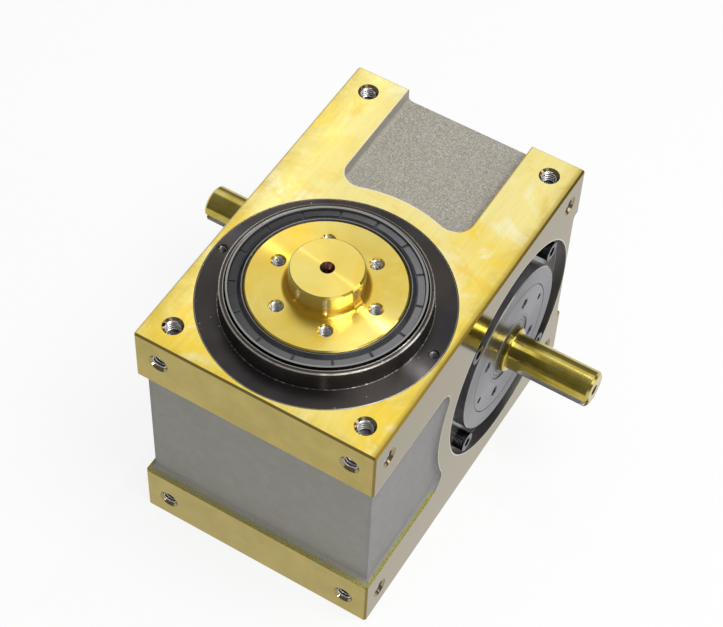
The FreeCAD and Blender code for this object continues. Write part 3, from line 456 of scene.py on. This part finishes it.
def housing_finish():
    """Iron casting: machined faces under a yellow film, worn edges, sandy cast pockets; painted reflections
    and painted shade on the film, painted light and shade on the cast skin.
    """
    s = Shader("cast_and_machined_iron")
    aside = s.reach(s.x)
    upward = s.reach(s.z, HALF_HEIGHT)
    along = s.reach(s.y, MIDDLE_Y)
    output_radius = s.output_radius()
    input_radius = s.input_radius()

    edge_width = 0.9 * MM
    to_side = s.math("SUBTRACT", aside, SIDE_FACE - edge_width)
    to_end = s.math("SUBTRACT", along, END_REACH - edge_width)
    to_top = s.math("SUBTRACT", upward, HALF_HEIGHT - edge_width)
    edge = s.any(
        s.math("MINIMUM", to_side, to_end),
        s.math("MINIMUM", to_side, to_top),
        s.math("MINIMUM", to_end, to_top),
    )
    edge = s.above(edge, 0.02 * MM, 0.05 * MM)
    skin = 0.05 * MM
    is_top = s.above(upward, HALF_HEIGHT - skin)
    is_side = s.above(aside, SIDE_FACE - skin)
    is_end = s.above(along, END_REACH - skin)
    top_pocket = s.pocket(aside, TOP_POCKET_HALF, s.y, output_radius)
    top_rim = s.both(s.rim_line(top_pocket), is_top, s.above(s.y, TOP_POCKET_START))
    below_shaft = s.math("SUBTRACT", INPUT_Y, s.y)
    side_pocket = s.pocket(s.reach(s.z, INPUT_Z), SIDE_POCKET_HALF, below_shaft, input_radius)
    side_rim = s.both(s.rim_line(side_pocket), is_side, s.below(s.y, SIDE_POCKET_END))
    sunk = s.any(
        s.hole_mouth(aside, MEAN_HOLE_X, along, MEAN_HOLE_Y, upward, HALF_HEIGHT),
        s.hole_mouth(aside, MEAN_HOLE_X, upward, MEAN_HOLE_Z, along, END_REACH),
        s.hole_mouth(along, MEAN_HOLE_Y, upward, MEAN_HOLE_Z, aside, SIDE_FACE),
    )
    bored = s.both(s.below(input_radius, SIDE_BORE), s.above(aside, SIDE_BORE_START, MM))
    machined = s.any(is_top, is_side, is_end, edge, bored, sunk)

    # Film on the machined faces
    blotch = s.noise(26, 3, 0.55, 0.6)
    streak = s.noise(1, 3, 0.6, 0, (700, 45, 700))
    cloud = s.noise(75, 4, 0.6)
    patch = s.noise(48, 4, 0.65, 1.2)
    bleach = s.noise(34, 3, 0.6, 1.6)
    # Random blotches, plus the film painted paler towards the back (+Y) as a painted reflection
    blotch_and_painted_reflection = s.math("ADD", blotch, s.span(s.y, -50 * MM, 110 * MM, -0.10, 0.16))
    top_film = s.mix(s.span(blotch_and_painted_reflection, 0.36, 0.60), FILM_GOLD, FILM_PALE)
    top_film = s.mix(s.span(patch, 0.56, 0.70, 0, 0.6), top_film, FILM_AMBER)
    top_film = s.mix(s.span(cloud, 0.50, 0.75, 0, 0.5), top_film, FILM_PALE)
    top_film = s.mix(s.span(bleach, 0.56, 0.68, 0, 0.75), top_film, FILM_WHITE)
    near_edge = s.any(s.above(aside, 49 * MM, 4 * MM), s.below(s.y, -49 * MM, 4 * MM))
    handled = s.both(near_edge, s.span(patch, 0.40, 0.60, 0.15, 0.65))
    top_film = s.mix(handled, top_film, FILM_OCHRE)
    end_film = s.mix(s.span(cloud, 0.35, 0.7), FILM_OLIVE, FILM_OLIVE_PALE)
    side_film = s.mix(s.span(s.z, 10 * MM, 75 * MM, 0.55, 0.0), FILM_SIDE, FILM_SIDE_LOW)
    film = s.mix(is_end, top_film, end_film)
    film = s.mix(is_side, film, side_film)
    film = s.mix(s.span(streak, 0.4, 0.8, 0, 0.12), film, FILM_STREAK)
    # Border and edge on the right painted darker as a painted dark reflection, and a stretch of the
    # pocket's rim there painted darker as painted shade
    right_border_painted_reflection = s.both(is_top, s.span(s.x, SIDE_FACE - 3 * MM, SIDE_FACE - MM, 0, 0.6))
    film = s.mix(right_border_painted_reflection, film, FILM_PAINTED_DARK_REFLECTION)
    right_edge_painted_reflection = s.above(s.x, SIDE_FACE - 1.2 * MM, 0.3 * MM)
    film = s.mix(edge, film, s.mix(right_edge_painted_reflection, FILM_WORN, FILM_PAINTED_DARK_REFLECTION))
    film = s.mix(bored, film, BORED_IRON)
    film = s.mix(sunk, film, FILM_SUNK)
    # Pocket rim on the top: painted highlight over worn film, and painted shade where x is past 26 mm
    rim_highlight_and_shade = s.mix(s.above(s.x, 26 * MM, MM), TOP_RIM_WORN_AND_HIGHLIGHT, TOP_RIM_PAINTED_SHADE)
    film = s.mix(s.math("MULTIPLY", top_rim, 0.85), film, rim_highlight_and_shade)
    film = s.mix(s.math("MULTIPLY", side_rim, 0.8), film, SIDE_RIM)
    mouth_line = s.both(
        s.above(input_radius, BORE_MOUTH[0]),
        s.below(input_radius, BORE_MOUTH[1], 0.1 * MM),
        s.above(aside, SIDE_FACE - 0.5 * MM),
    )
    film = s.mix(s.math("MULTIPLY", mouth_line, 0.7), film, BRIGHT_EDGE)

    # Sandy cast skin in the pockets and recesses, painted lighter in the top pocket and darker in the side
    # pockets
    grit = s.noise(2100, 3, 0.65)
    lump = s.noise(170, 2, 0.5)
    is_upper = s.above(s.z, TOP_FACE - 8 * MM, MM)
    cast = s.mix(s.above(aside, SIDE_FACE - 4 * MM, 0.5 * MM), CAST_GREY, CAST_SIDE_PAINTED_SHADE)
    cast = s.mix(is_upper, cast, CAST_WARM_PAINTED_LIGHT)
    grain = s.blend(is_upper, 0.25, 0.75)
    cast = s.mix(s.math("MULTIPLY", grain, s.span(grit, 0.40, 0.52, 1.0, 0.0)), cast, CAST_DARK)
    cast = s.mix(s.math("MULTIPLY", grain, s.span(grit, 0.54, 0.66, 0.0, 1.0)), cast, CAST_PALE)
    cast = s.mix(s.span(lump, 0.4, 0.7, 0, 0.10), cast, CAST_LUMP)
    outer = s.any(s.span(along, *LEDGE_FROM_END), s.span(aside, *LEDGE_FROM_SIDE))
    ledge = s.both(s.below(s.z, LEDGE[1], 0.4 * MM), s.above(s.z, LEDGE[0], MM), outer)
    speckle = s.span(s.noise(1500, 3, 0.7), 0.40, 0.58)
    stain = s.mix(speckle, CAST_STAINED_DARK, CAST_STAINED)
    cast = s.mix(s.both(ledge, s.span(lump, 0.30, 0.45, 0.55, 1.0)), cast, stain)

    s.colour(s.mix(machined, cast, film))
    s.metallic(machined)
    machined_rough = s.span(cloud, 0.3, 0.7, 0.09, 0.16)
    machined_rough = s.blend(is_side, machined_rough, 0.13)
    machined_rough = s.blend(s.any(edge, bored), machined_rough, 0.32)
    s.rough(s.blend(machined, s.span(grit, 0.3, 0.7, 0.62, 0.85), machined_rough))
    not_machined = s.math("SUBTRACT", 1.0, machined)
    relief = s.math("ADD", s.math("MULTIPLY", grit, 0.6), s.math("MULTIPLY", lump, 0.6))
    normal = s.bump(s.math("MULTIPLY", relief, not_machined), 0.55 * MM)
    tool_marks = s.both(streak, machined, s.below(aside, SIDE_FACE - MM))
    s.bump(tool_marks, 0.006 * MM, normal)
    return s.material


def ring_finish():
    """Black oxide on turned steel, bare at the edges."""
    s = Shader("black_oxide_turned", Metallic=0.85)
    radius = s.output_radius()
    rim = s.both(s.above(radius, RIM_RADIUS, 0.06 * MM), s.above(s.z, RIM_LEVEL, 0.1 * MM))
    shoulder = s.both(
        s.above(radius, SHOULDER_RADIUS, 0.06 * MM),
        s.above(s.z, SHOULDER_LEVEL, 0.1 * MM),
    )
    mouth = s.both(s.band(radius, COLLAR_MOUTH, 0.05 * MM), s.above(s.z, COLLAR_LEVEL))
    foot = s.both(s.band(radius, COLLAR_FOOT, 0.04 * MM), s.below(s.z, COLLAR_FOOT_LEVEL))
    bare = s.span(s.noise(420, 3, 0.6), 0.25, 0.5, 0.5, 1.0)
    sparkle = s.span(s.noise(900, 2, 0.5), 0.5, 0.62, 0.25, 1.0)
    edge = s.any(
        rim,
        s.math("MULTIPLY", shoulder, bare),
        s.math("MULTIPLY", mouth, 0.6),
        s.both(foot, sparkle),
    )
    cloud = s.noise(60, 3, 0.6)
    dust = s.both(s.below(s.cells(300), 0.075, 0.02), s.span(cloud, 0.42, 0.58, 0, 0.9))
    warm = s.noise(26, 2, 0.5, 1.0)
    base = s.mix(s.span(warm, 0.40, 0.62), BLACK_OXIDE, OXIDE_WARM)
    base = s.mix(s.span(cloud, 0.5, 0.75, 0, 0.6), base, OXIDE_PALE)
    base = s.mix(dust, base, DUST)
    s.colour(s.mix(edge, base, BRIGHT_EDGE))
    turning = s.rings(radius, 5200)
    s.rough(s.span(turning, 0.3, 0.7, 0.20, 0.26))
    s.bump(turning, 0.0012 * MM)
    s.turned("Z", 1.0)
    return s.material


def output_seal_finish():
    """Moulded rubber face with a broken band painted lighter towards +X as a painted reflection, and the
    steel rim of the case.
    """
    s = Shader("moulded_output_seal")
    radius = s.output_radius()
    steel = s.above(radius, CASE_RADIUS, 0.05 * MM)
    raised = s.both(s.above(s.z, RAISED_LEVEL, 0.04 * MM), s.band(radius, RAISED_BAND))
    grain = s.noise(1500, 3, 0.6)
    cloud = s.noise(110, 3, 0.6)
    base = s.mix(s.span(cloud, 0.35, 0.7), RUBBER, RUBBER_WORN)
    # Raised band painted lighter towards +X with a wavy border: a painted reflection
    wavy = s.math("ADD", s.x, s.span(cloud, 0.3, 0.7, 0.0, 12 * MM))
    band_painted_sheen = s.mix(s.span(wavy, -22 * MM, 36 * MM), RUBBER, RUBBER_PAINTED_SHEEN)
    base = s.mix(raised, base, band_painted_sheen)
    lip = s.band(radius, LIP, 0.05 * MM)
    base = s.mix(s.math("MULTIPLY", lip, 0.8), base, RUBBER_LIP)
    s.colour(s.mix(steel, base, OUTPUT_CASE))
    s.metallic(steel)
    s.rough(s.blend(steel, s.span(grain, 0.3, 0.7, 0.24, 0.38), 0.12))
    s.bump(grain, 0.008 * MM)
    return s.material


def input_seal_finish():
    """Rubber lip seal with moulded rings and the steel rim of its case."""
    s = Shader("moulded_input_seal")
    radius = s.input_radius()
    steel = s.above(radius, INPUT_CASE_RADIUS, 0.05 * MM)
    grain = s.noise(1500, 3, 0.6)
    cloud = s.noise(110, 3, 0.6)
    base = s.mix(s.span(cloud, 0.35, 0.7), RUBBER, RUBBER_DUSTY)
    for place in MOULDED_RINGS:
        ring = s.below(s.reach(radius, place * MM), MOULDED_RING_HALF, 0.1 * MM)
        base = s.mix(s.math("MULTIPLY", ring, 0.75), base, RUBBER_RING)
    s.colour(s.mix(steel, base, INPUT_CASE))
    s.metallic(steel)
    s.rough(s.blend(steel, s.span(grain, 0.3, 0.7, 0.26, 0.40), 0.30))
    s.bump(grain, 0.008 * MM)
    return s.material


def output_finish():
    """Fine-turned flange and boss under a clear yellow film."""
    s = Shader("turned_gold_film", Metallic=1.0)
    radius = s.output_radius()
    cloud = s.noise(42, 3, 0.55, 0.8)
    turning = s.rings(radius, 4200)
    base = s.mix(s.span(cloud, 0.36, 0.66), OUTPUT_GOLD, OUTPUT_PALE)
    on_boss = s.above(s.z, BOSS_LEVEL)
    wall = s.both(s.band(s.z, BOSS_WALL, 0.2 * MM), s.above(radius, BOSS_WALL_RADIUS))
    # Boss wall painted paler than the flange: painted light
    base = s.mix(s.math("MULTIPLY", wall, 0.8), base, OUTPUT_WALL_PAINTED_LIGHT)
    base = s.mix(s.math("MULTIPLY", on_boss, 0.35), base, OUTPUT_PALE)
    centre = s.both(s.below(radius, CENTRE_HOLE_RADIUS), s.above(s.z, CENTRE_HOLE_LEVEL, MM))
    base = s.mix(centre, base, OUTPUT_CENTRE)
    foot = s.both(s.band(radius, BOSS_FOOT, 0.1 * MM), s.above(s.z, FLANGE_LEVEL, MM))
    base = s.mix(s.math("MULTIPLY", foot, 0.75), base, OUTPUT_FOOT)
    s.colour(base)
    smoother = s.math("MULTIPLY", on_boss, 0.07)
    s.rough(s.math("SUBTRACT", s.span(turning, 0.3, 0.7, 0.19, 0.21), smoother))
    s.bump(turning, 0.0012 * MM)
    s.turned("Z", 1.0)
    return s.material


def shaft_finish():
    """Ground shaft under the film, with a bare milled keyway."""
    s = Shader("ground_gold_film", Metallic=1.0)
    radius = s.input_radius()
    aside = s.reach(s.x)
    grinding = s.noise(1, 2, 0.5, 0, (900, 8, 8))
    cloud = s.noise(70, 3, 0.55)
    base = s.mix(s.span(cloud, 0.35, 0.68), SHAFT_GOLD, SHAFT_PALE)
    keyway = s.both(
        s.below(radius, KEYWAY_RADIUS),
        s.above(aside, KEYWAY[0], 0.3 * MM),
        s.below(aside, KEYWAY[1]),
    )
    base = s.mix(keyway, base, SHAFT_KEYWAY)
    centre = s.both(s.below(radius, CENTRE_DRILL_RADIUS), s.above(aside, CENTRE_DRILL_START))
    base = s.mix(centre, base, SHAFT_CENTRE)
    s.colour(base)
    duller = s.math("MULTIPLY", keyway, 0.2)
    s.rough(s.math("ADD", s.span(grinding, 0.3, 0.7, 0.16, 0.19), duller))
    s.bump(cloud, 0.004 * MM)
    s.turned("X", 0.6)
    return s.material


def sleeve_finish():
    """Sleeve flange: ground grey centre face, black oxide flange, bright edges."""
    s = Shader("ground_and_black_sleeve")
    radius = s.input_radius()
    aside = s.reach(s.x)
    face = s.both(s.above(aside, DISC_LEVEL, 0.03 * MM), s.below(radius, DISC_RADIUS, 0.05 * MM))
    flange = s.math("SUBTRACT", 1.0, face)
    turning = s.rings(radius, 5000)
    cloud = s.noise(70, 3, 0.6)
    tone = s.span(cloud, 0.35, 0.7)
    ground = s.mix(tone, GROUND_FACE, GROUND_LIGHT)
    base = s.mix(flange, ground, s.mix(tone, SLEEVE_BLACK, SLEEVE_GREY))
    gap = s.both(s.below(radius, FINE_GAP_RADIUS, 0.06 * MM), face)
    base = s.mix(gap, base, FINE_GAP)
    disc_edge = s.both(s.band(radius, DISC_EDGE, 0.05 * MM), s.above(aside, DISC_EDGE_LEVEL))
    flange_edge = s.both(
        s.above(radius, SLEEVE_EDGE_RADIUS, 0.06 * MM),
        s.above(aside, SLEEVE_EDGE_LEVEL, 0.1 * MM),
    )
    bright = s.any(s.math("MULTIPLY", disc_edge, 0.35), flange_edge)
    s.colour(s.mix(bright, base, BRIGHT_EDGE))
    s.metallic(s.span(flange, 0, 1, 0.9, 0.3))
    s.rough(s.blend(flange, s.span(turning, 0.3, 0.7, 0.24, 0.34), 0.16))
    s.bump(turning, 0.004 * MM)
    s.turned("X", 0.7)
    return s.material


def adjuster_finish():
    """Ground face of the adjusting ring, with fine turned circles."""
    s = Shader("ground_adjusting_ring", Metallic=0.9)
    radius = s.input_radius()
    turning = s.rings(radius, 5000)
    cloud = s.noise(80, 3, 0.6)
    base = s.mix(s.span(cloud, 0.35, 0.7), GROUND_FACE, GROUND_LIGHT)
    lines = s.any(
        s.above(radius, ADJUSTER_OUTSIDE, 0.05 * MM),
        s.below(radius, ADJUSTER_INSIDE, 0.05 * MM),
    )
    base = s.mix(lines, base, ADJUSTER_LINE)
    # Everything sunk below the ring's face, the holes among it, painted near black as painted shade
    below_face = s.below(s.reach(s.x), ADJUSTER_LEVEL, 0.1 * MM)
    s.colour(s.mix(below_face, base, ADJUSTER_HOLE_PAINTED_SHADE))
    s.rough(s.span(turning, 0.3, 0.7, 0.22, 0.32))
    s.bump(turning, 0.004 * MM)
    s.turned("X", 0.7)
    return s.material


def metal_finish(name):
    """Plain machined metal with a mottled tone and fine tool marks."""
    dark, light, rough_low, rough_high = PLAIN_METALS[name]
    s = Shader(name, Metallic=1.0)
    s.colour(s.mix(s.span(s.noise(140, 3, 0.6), 0.35, 0.68), dark, light))
    marks = s.noise(1, 2, 0.6, 0, (1900, 1900, 260))
    s.rough(s.span(marks, 0.3, 0.7, rough_low, rough_high))
    s.bump(marks, 0.006 * MM)
    return s.material


def thread_finish(name, root, crest):
    """Cut thread: crests painted bright as a painted highlight, roots painted dark as painted shade."""
    s = Shader(name, Metallic=0.7)
    crest_attribute = s.add("Attribute")
    crest_attribute.attribute_name = "crest"
    tone = s.math("ADD", crest_attribute.outputs["Fac"], s.span(s.noise(700, 2), 0.3, 0.7, -0.25, 0.25))
    # Crests painted bright and roots dark: painted highlight and painted shade
    s.colour(s.mix(s.span(tone, 0.35, 0.8), root, crest))
    s.rough(s.span(tone, 0.0, 1.0, 0.45, 0.24))
    return s.material


def glass_finish():
    s = Shader("sight_glass", Transmission_Weight=0.85, IOR=1.47)
    s.colour(s.mix(s.span(s.noise(90, 2), 0.4, 0.7), GLASS_CLEAR, GLASS_OILY))
    s.rough(s.span(s.noise(300, 2), 0.3, 0.7, 0.02, 0.08))
    return s.material


def dress(material, *names):
    """Give CAD nodes one material."""
    for name in names:
        node = bpy.data.objects[name]
        node.data.materials.clear()
        node.data.materials.append(material)


def dress_nodes():
    bearings = [side + "_bearing_" for side in ("upper", "lower", "right", "left")]
    dress(housing_finish(), "housing")
    dress(ring_finish(), "output_retainer_ring")
    dress(output_seal_finish(), "output_oil_seal")
    dress(input_seal_finish(), "right_input_seal", "left_input_seal")
    dress(output_finish(), "output_turret")
    dress(shaft_finish(), "input_shaft")
    dress(sleeve_finish(), "right_bearing_sleeve", "left_bearing_sleeve")
    dress(adjuster_finish(), "right_adjusting_ring", "left_adjusting_ring")
    metals = {name: metal_finish(name) for name in PLAIN_METALS}
    dress(metals["black_screws"], "right_sleeve_screws", "left_sleeve_screws", "bottom_cover_screws")
    dress(metals["black_cover"], "bottom_cover")
    dress(metals["hardened_steel"], "follower_studs")
    dress(metals["hardened_steel"], *["follower_roller_%d" % (index + 1) for index in range(8)])
    for bearing in bearings:
        dress(metals["hardened_steel"], bearing + "outer_race", bearing + "inner_race", bearing + "rollers")
        dress(metals["machined_brass"], bearing + "cage")
    dress(metals["machined_brass"], "oil_filler_plug", "oil_drain_plug", "sight_glass_bezel")
    dress(metals["ground_cam"], "roller_gear_cam")
    dress(metals["turned_nuts"], "upper_locknut", "lower_locknut", "cam_key")
    dress(glass_finish(), "sight_glass_window")


def new_piece(name, vertices, faces, material, body):
    """Mesh piece that rides on a body, shaded smooth except at sharp edges."""
    mesh = bpy.data.meshes.new(name)
    mesh.from_pydata(vertices, [], faces)
    mesh.validate()
    mesh.materials.append(material)
    mesh.shade_smooth()
    mesh.set_sharp_from_angle(angle=math.radians(THREAD_SHARP_ANGLE))
    piece = bpy.data.objects.new(name, mesh)
    bpy.context.scene.collection.objects.link(piece)
    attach(piece, body)
    return piece


def thread_shape(radius, chamfer, depth, pitch):
    """Lining of a tapped hole about +Z, mouth at 0: helical thread and drilled end, and its crests."""
    crest = radius - THREAD_HEIGHT * pitch
    root = radius - THREAD_SKIN
    start = -chamfer
    end = -(depth - THREAD_END_GAP)
    section = (root, root, crest, crest)
    turns = int(math.ceil((start - end) / pitch)) + 1
    rows = [[(root, start)] * THREAD_SIDES]
    for step in range(4 * turns + 1):
        row = []
        for column in range(THREAD_SIDES):
            height = start - pitch * (step / 4.0 + column / THREAD_SIDES - 1.0)
            distance = section[step % 4]
            if height > start or height < end:
                distance = root
            row.append((distance, min(start, max(end, height))))
        rows.append(row)
    rows.append([(root, end)] * THREAD_SIDES)
    rows.append([(DRILL_POINT * radius, end - DRILL_POINT_DROP)] * THREAD_SIDES)
    vertices, crests = [], []
    for row in rows:
        for column, (distance, height) in enumerate(row):
            turn = 2 * math.pi * column / THREAD_SIDES
            vertices.append(Vector((distance * math.cos(turn), distance * math.sin(turn), height)))
            crests.append(1.0 if distance < root and height > end else 0.0)
    faces = []
    for index in range(len(rows) - 1):
        low = index * THREAD_SIDES
        helix = 1 <= index < len(rows) - 3
        for column in range(THREAD_SIDES):
            after = (column + 1) % THREAD_SIDES
            shift = 4 * THREAD_SIDES if helix and after == 0 else 0
            high = low + THREAD_SIDES
            quad = (low + column, high + column, high + after + shift, low + after + shift)
            if max(quad) < len(vertices):
                faces.append(quad)
    faces.append(tuple((len(rows) - 1) * THREAD_SIDES + column for column in range(THREAD_SIDES)))
    return vertices, faces, crests


def lined_holes(name, holes, thread, material, body):
    """One piece with a thread lining in each hole; holes are pairs of mouth and outward direction."""
    vertices, faces = [], []
    shape, quads, crests = thread_shape(*thread)
    for mouth, outward in holes:
        turn = Vector((0, 0, 1)).rotation_difference(Vector(outward)).to_matrix()
        first = len(vertices)
        vertices.extend([turn @ point + Vector(mouth) for point in shape])
        faces.extend([tuple(first + corner for corner in quad) for quad in quads])
    piece = new_piece(name, vertices, faces, material, body)
    crest_attribute = piece.data.attributes.new("crest", "FLOAT", "POINT")
    crest_attribute.data.foreach_set("value", crests * len(holes))


def corners(firsts, seconds):
    return [(first, second) for first in firsts for second in seconds]


def housing_holes():
    """Mouths of the tapped holes of the six faces."""
    holes = []
    for end, inset in ((1, 0.0), (-1, HOLE_INSET)):
        xs = (-(HOLE_X - inset), HOLE_X - inset)
        ys = (HOLE_Y[0] + inset, HOLE_Y[1] - inset)
        zs = (HOLE_Z[0] + inset, HOLE_Z[1] - inset)
        for x, y in corners(xs, ys):
            holes.append(((x, y, TOP_FACE if end > 0 else 0.0), (0, 0, end)))
        for x, z in corners(xs, zs):
            holes.append(((x, FRONT_FACE if end > 0 else BACK_FACE, z), (0, -end, 0)))
        for y, z in corners(ys, zs):
            holes.append(((end * SIDE_FACE, y, z), (end, 0, 0)))
    return holes


def circle_holes(radius, count, level):
    """Mouths of holes on a circle about the output axis."""
    holes = []
    for index in range(count):
        turn = math.radians(360.0 * index / count)
        holes.append(((radius * math.cos(turn), radius * math.sin(turn), level), (0, 0, 1)))
    return holes


def adjuster_holes(side):
    holes = []
    for index in range(ADJUSTER_HOLES):
        turn = math.radians(ADJUSTER_FIRST_HOLE + 360.0 / ADJUSTER_HOLES * index)
        y = INPUT_Y + side * ADJUSTER_HOLES_RADIUS * math.sin(turn)
        z = INPUT_Z - ADJUSTER_HOLES_RADIUS * math.cos(turn)
        holes.append(((side * SIDE_FACE, y, z), (side, 0, 0)))
    return holes


def add_threads():
    bright = thread_finish("cut_thread", *PLAIN_THREAD)
    dull = thread_finish("dark_thread", *DARK_THREAD)
    flange_holes = circle_holes(*FLANGE_HOLES)
    spanner_holes = circle_holes(*SPANNER_HOLES)
    lined_holes("housing_threads", housing_holes(), HOUSING_THREAD, bright, "housing")
    lined_holes("flange_threads", flange_holes, FLANGE_THREAD, bright, "output")
    lined_holes("spanner_hole_threads", spanner_holes, SPANNER_THREAD, dull, "housing")
    for name, side in (("right", 1), ("left", -1)):
        lined_holes(name + "_ring_threads", adjuster_holes(side), ADJUSTER_THREAD,
                    dull, "housing")


def add_floor():
    """Pale floor that keeps the shadow, and is nearly white to the rays which show it."""
    mesh = bpy.data.meshes.new("floor")
    corner_places = [(-1, -1), (1, -1), (1, 1), (-1, 1)]
    vertices = [(x * FLOOR_REACH, y * FLOOR_REACH, FLOOR_LEVEL) for x, y in corner_places]
    mesh.from_pydata(vertices, [], [(0, 1, 2, 3)])
    material = bpy.data.materials.new("pale_floor")
    tree = Nodes(material)
    output = tree.add("OutputMaterial")
    diffuse = tree.add("BsdfDiffuse")
    tree.put(diffuse.inputs["Color"], FLOOR_GREY)
    glow = tree.add("Emission")
    tree.put(glow.inputs["Color"], (1, 1, 1))
    path = tree.add("LightPath").outputs
    seen = tree.math("MAXIMUM", path["Is Camera Ray"], path["Is Glossy Ray"])
    seen = tree.math("MAXIMUM", seen, path["Is Transmission Ray"])
    blend = tree.add("MixShader")
    tree.put(blend.inputs[0], tree.math("MULTIPLY", seen, FLOOR_WHITENESS))
    tree.put(blend.inputs[1], diffuse.outputs[0])
    tree.put(blend.inputs[2], glow.outputs[0])
    tree.put(output.inputs["Surface"], blend.outputs[0])
    mesh.materials.append(material)
    floor = bpy.data.objects.new("floor", mesh)
    bpy.context.scene.collection.objects.link(floor)


def add_world():
    """White backdrop, even light, and a studio that is brightest where the top face mirrors it."""
    world = bpy.data.worlds.new("studio")
    bpy.context.scene.world = world
    tree = Nodes(world)
    facing = tree.add("TexCoord").outputs["Generated"]
    toward = tree.dot(facing, STUDIO_TOWARD)
    glow = tree.span(toward, 0.945, 0.985, STUDIO_DIM, STUDIO_BRIGHT, "SMOOTHSTEP")
    across = tree.math("ABSOLUTE", tree.dot(facing, ARCH_ACROSS))
    arch = tree.span(across, 0.10, 0.32, STUDIO_ARCH, STUDIO_DIM, "SMOOTHSTEP")
    drift = tree.add("TexNoise")
    tree.put(drift.inputs["Vector"], facing)
    tree.put(drift.inputs["Scale"], 2.2)
    waver = tree.span(drift.outputs[0], 0.3, 0.7, 0.8, 1.15)
    studio = tree.math("MULTIPLY", tree.math("MAXIMUM", glow, arch), waver)
    path = tree.add("LightPath").outputs
    strength = tree.blend(path["Is Glossy Ray"], AMBIENT, studio)
    strength = tree.blend(path["Is Camera Ray"], strength, BACKDROP)
    background = tree.add("Background")
    tree.put(background.inputs["Color"], (1, 1, 1))
    tree.put(background.inputs["Strength"], strength)
    tree.put(tree.add("OutputWorld").inputs["Surface"], background.outputs[0])


def add_lights():
    for name, (place, aim, width, height, power) in LIGHTS.items():
        lamp = bpy.data.lights.new(name, "AREA")
        lamp.shape = "RECTANGLE"
        lamp.size = width
        lamp.size_y = height
        lamp.energy = power
        light = bpy.data.objects.new(name, lamp)
        light.location = place
        light.rotation_euler = (Vector(place) - Vector(aim)).to_track_quat("Z", "Y").to_euler()
        bpy.context.scene.collection.objects.link(light)


def add_camera():
    back = Vector((
        math.sin(CAMERA_AZIMUTH) * math.cos(CAMERA_ELEVATION),
        -math.cos(CAMERA_AZIMUTH) * math.cos(CAMERA_ELEVATION),
        math.sin(CAMERA_ELEVATION),
    ))
    level = Vector((math.cos(CAMERA_AZIMUTH), math.sin(CAMERA_AZIMUTH), 0))
    right = math.cos(CAMERA_ROLL) * level + math.sin(CAMERA_ROLL) * back.cross(level)
    up = back.cross(right)
    lens = bpy.data.cameras.new("camera")
    lens.sensor_fit = "HORIZONTAL"
    lens.sensor_width = CAMERA_SENSOR
    lens.lens = CAMERA_LENS
    lens.clip_start = CAMERA_CLIP_START
    camera = bpy.data.objects.new("camera", lens)
    axes = Matrix((right, up, back)).transposed().to_4x4()
    camera.matrix_world = Matrix.Translation(CAMERA_PLACE) @ axes
    bpy.context.scene.collection.objects.link(camera)
    bpy.context.scene.camera = camera


dress_nodes()
add_threads()
add_floor()
add_world()
add_lights()
add_camera()
bpy.context.scene.view_settings.view_transform = "Standard"
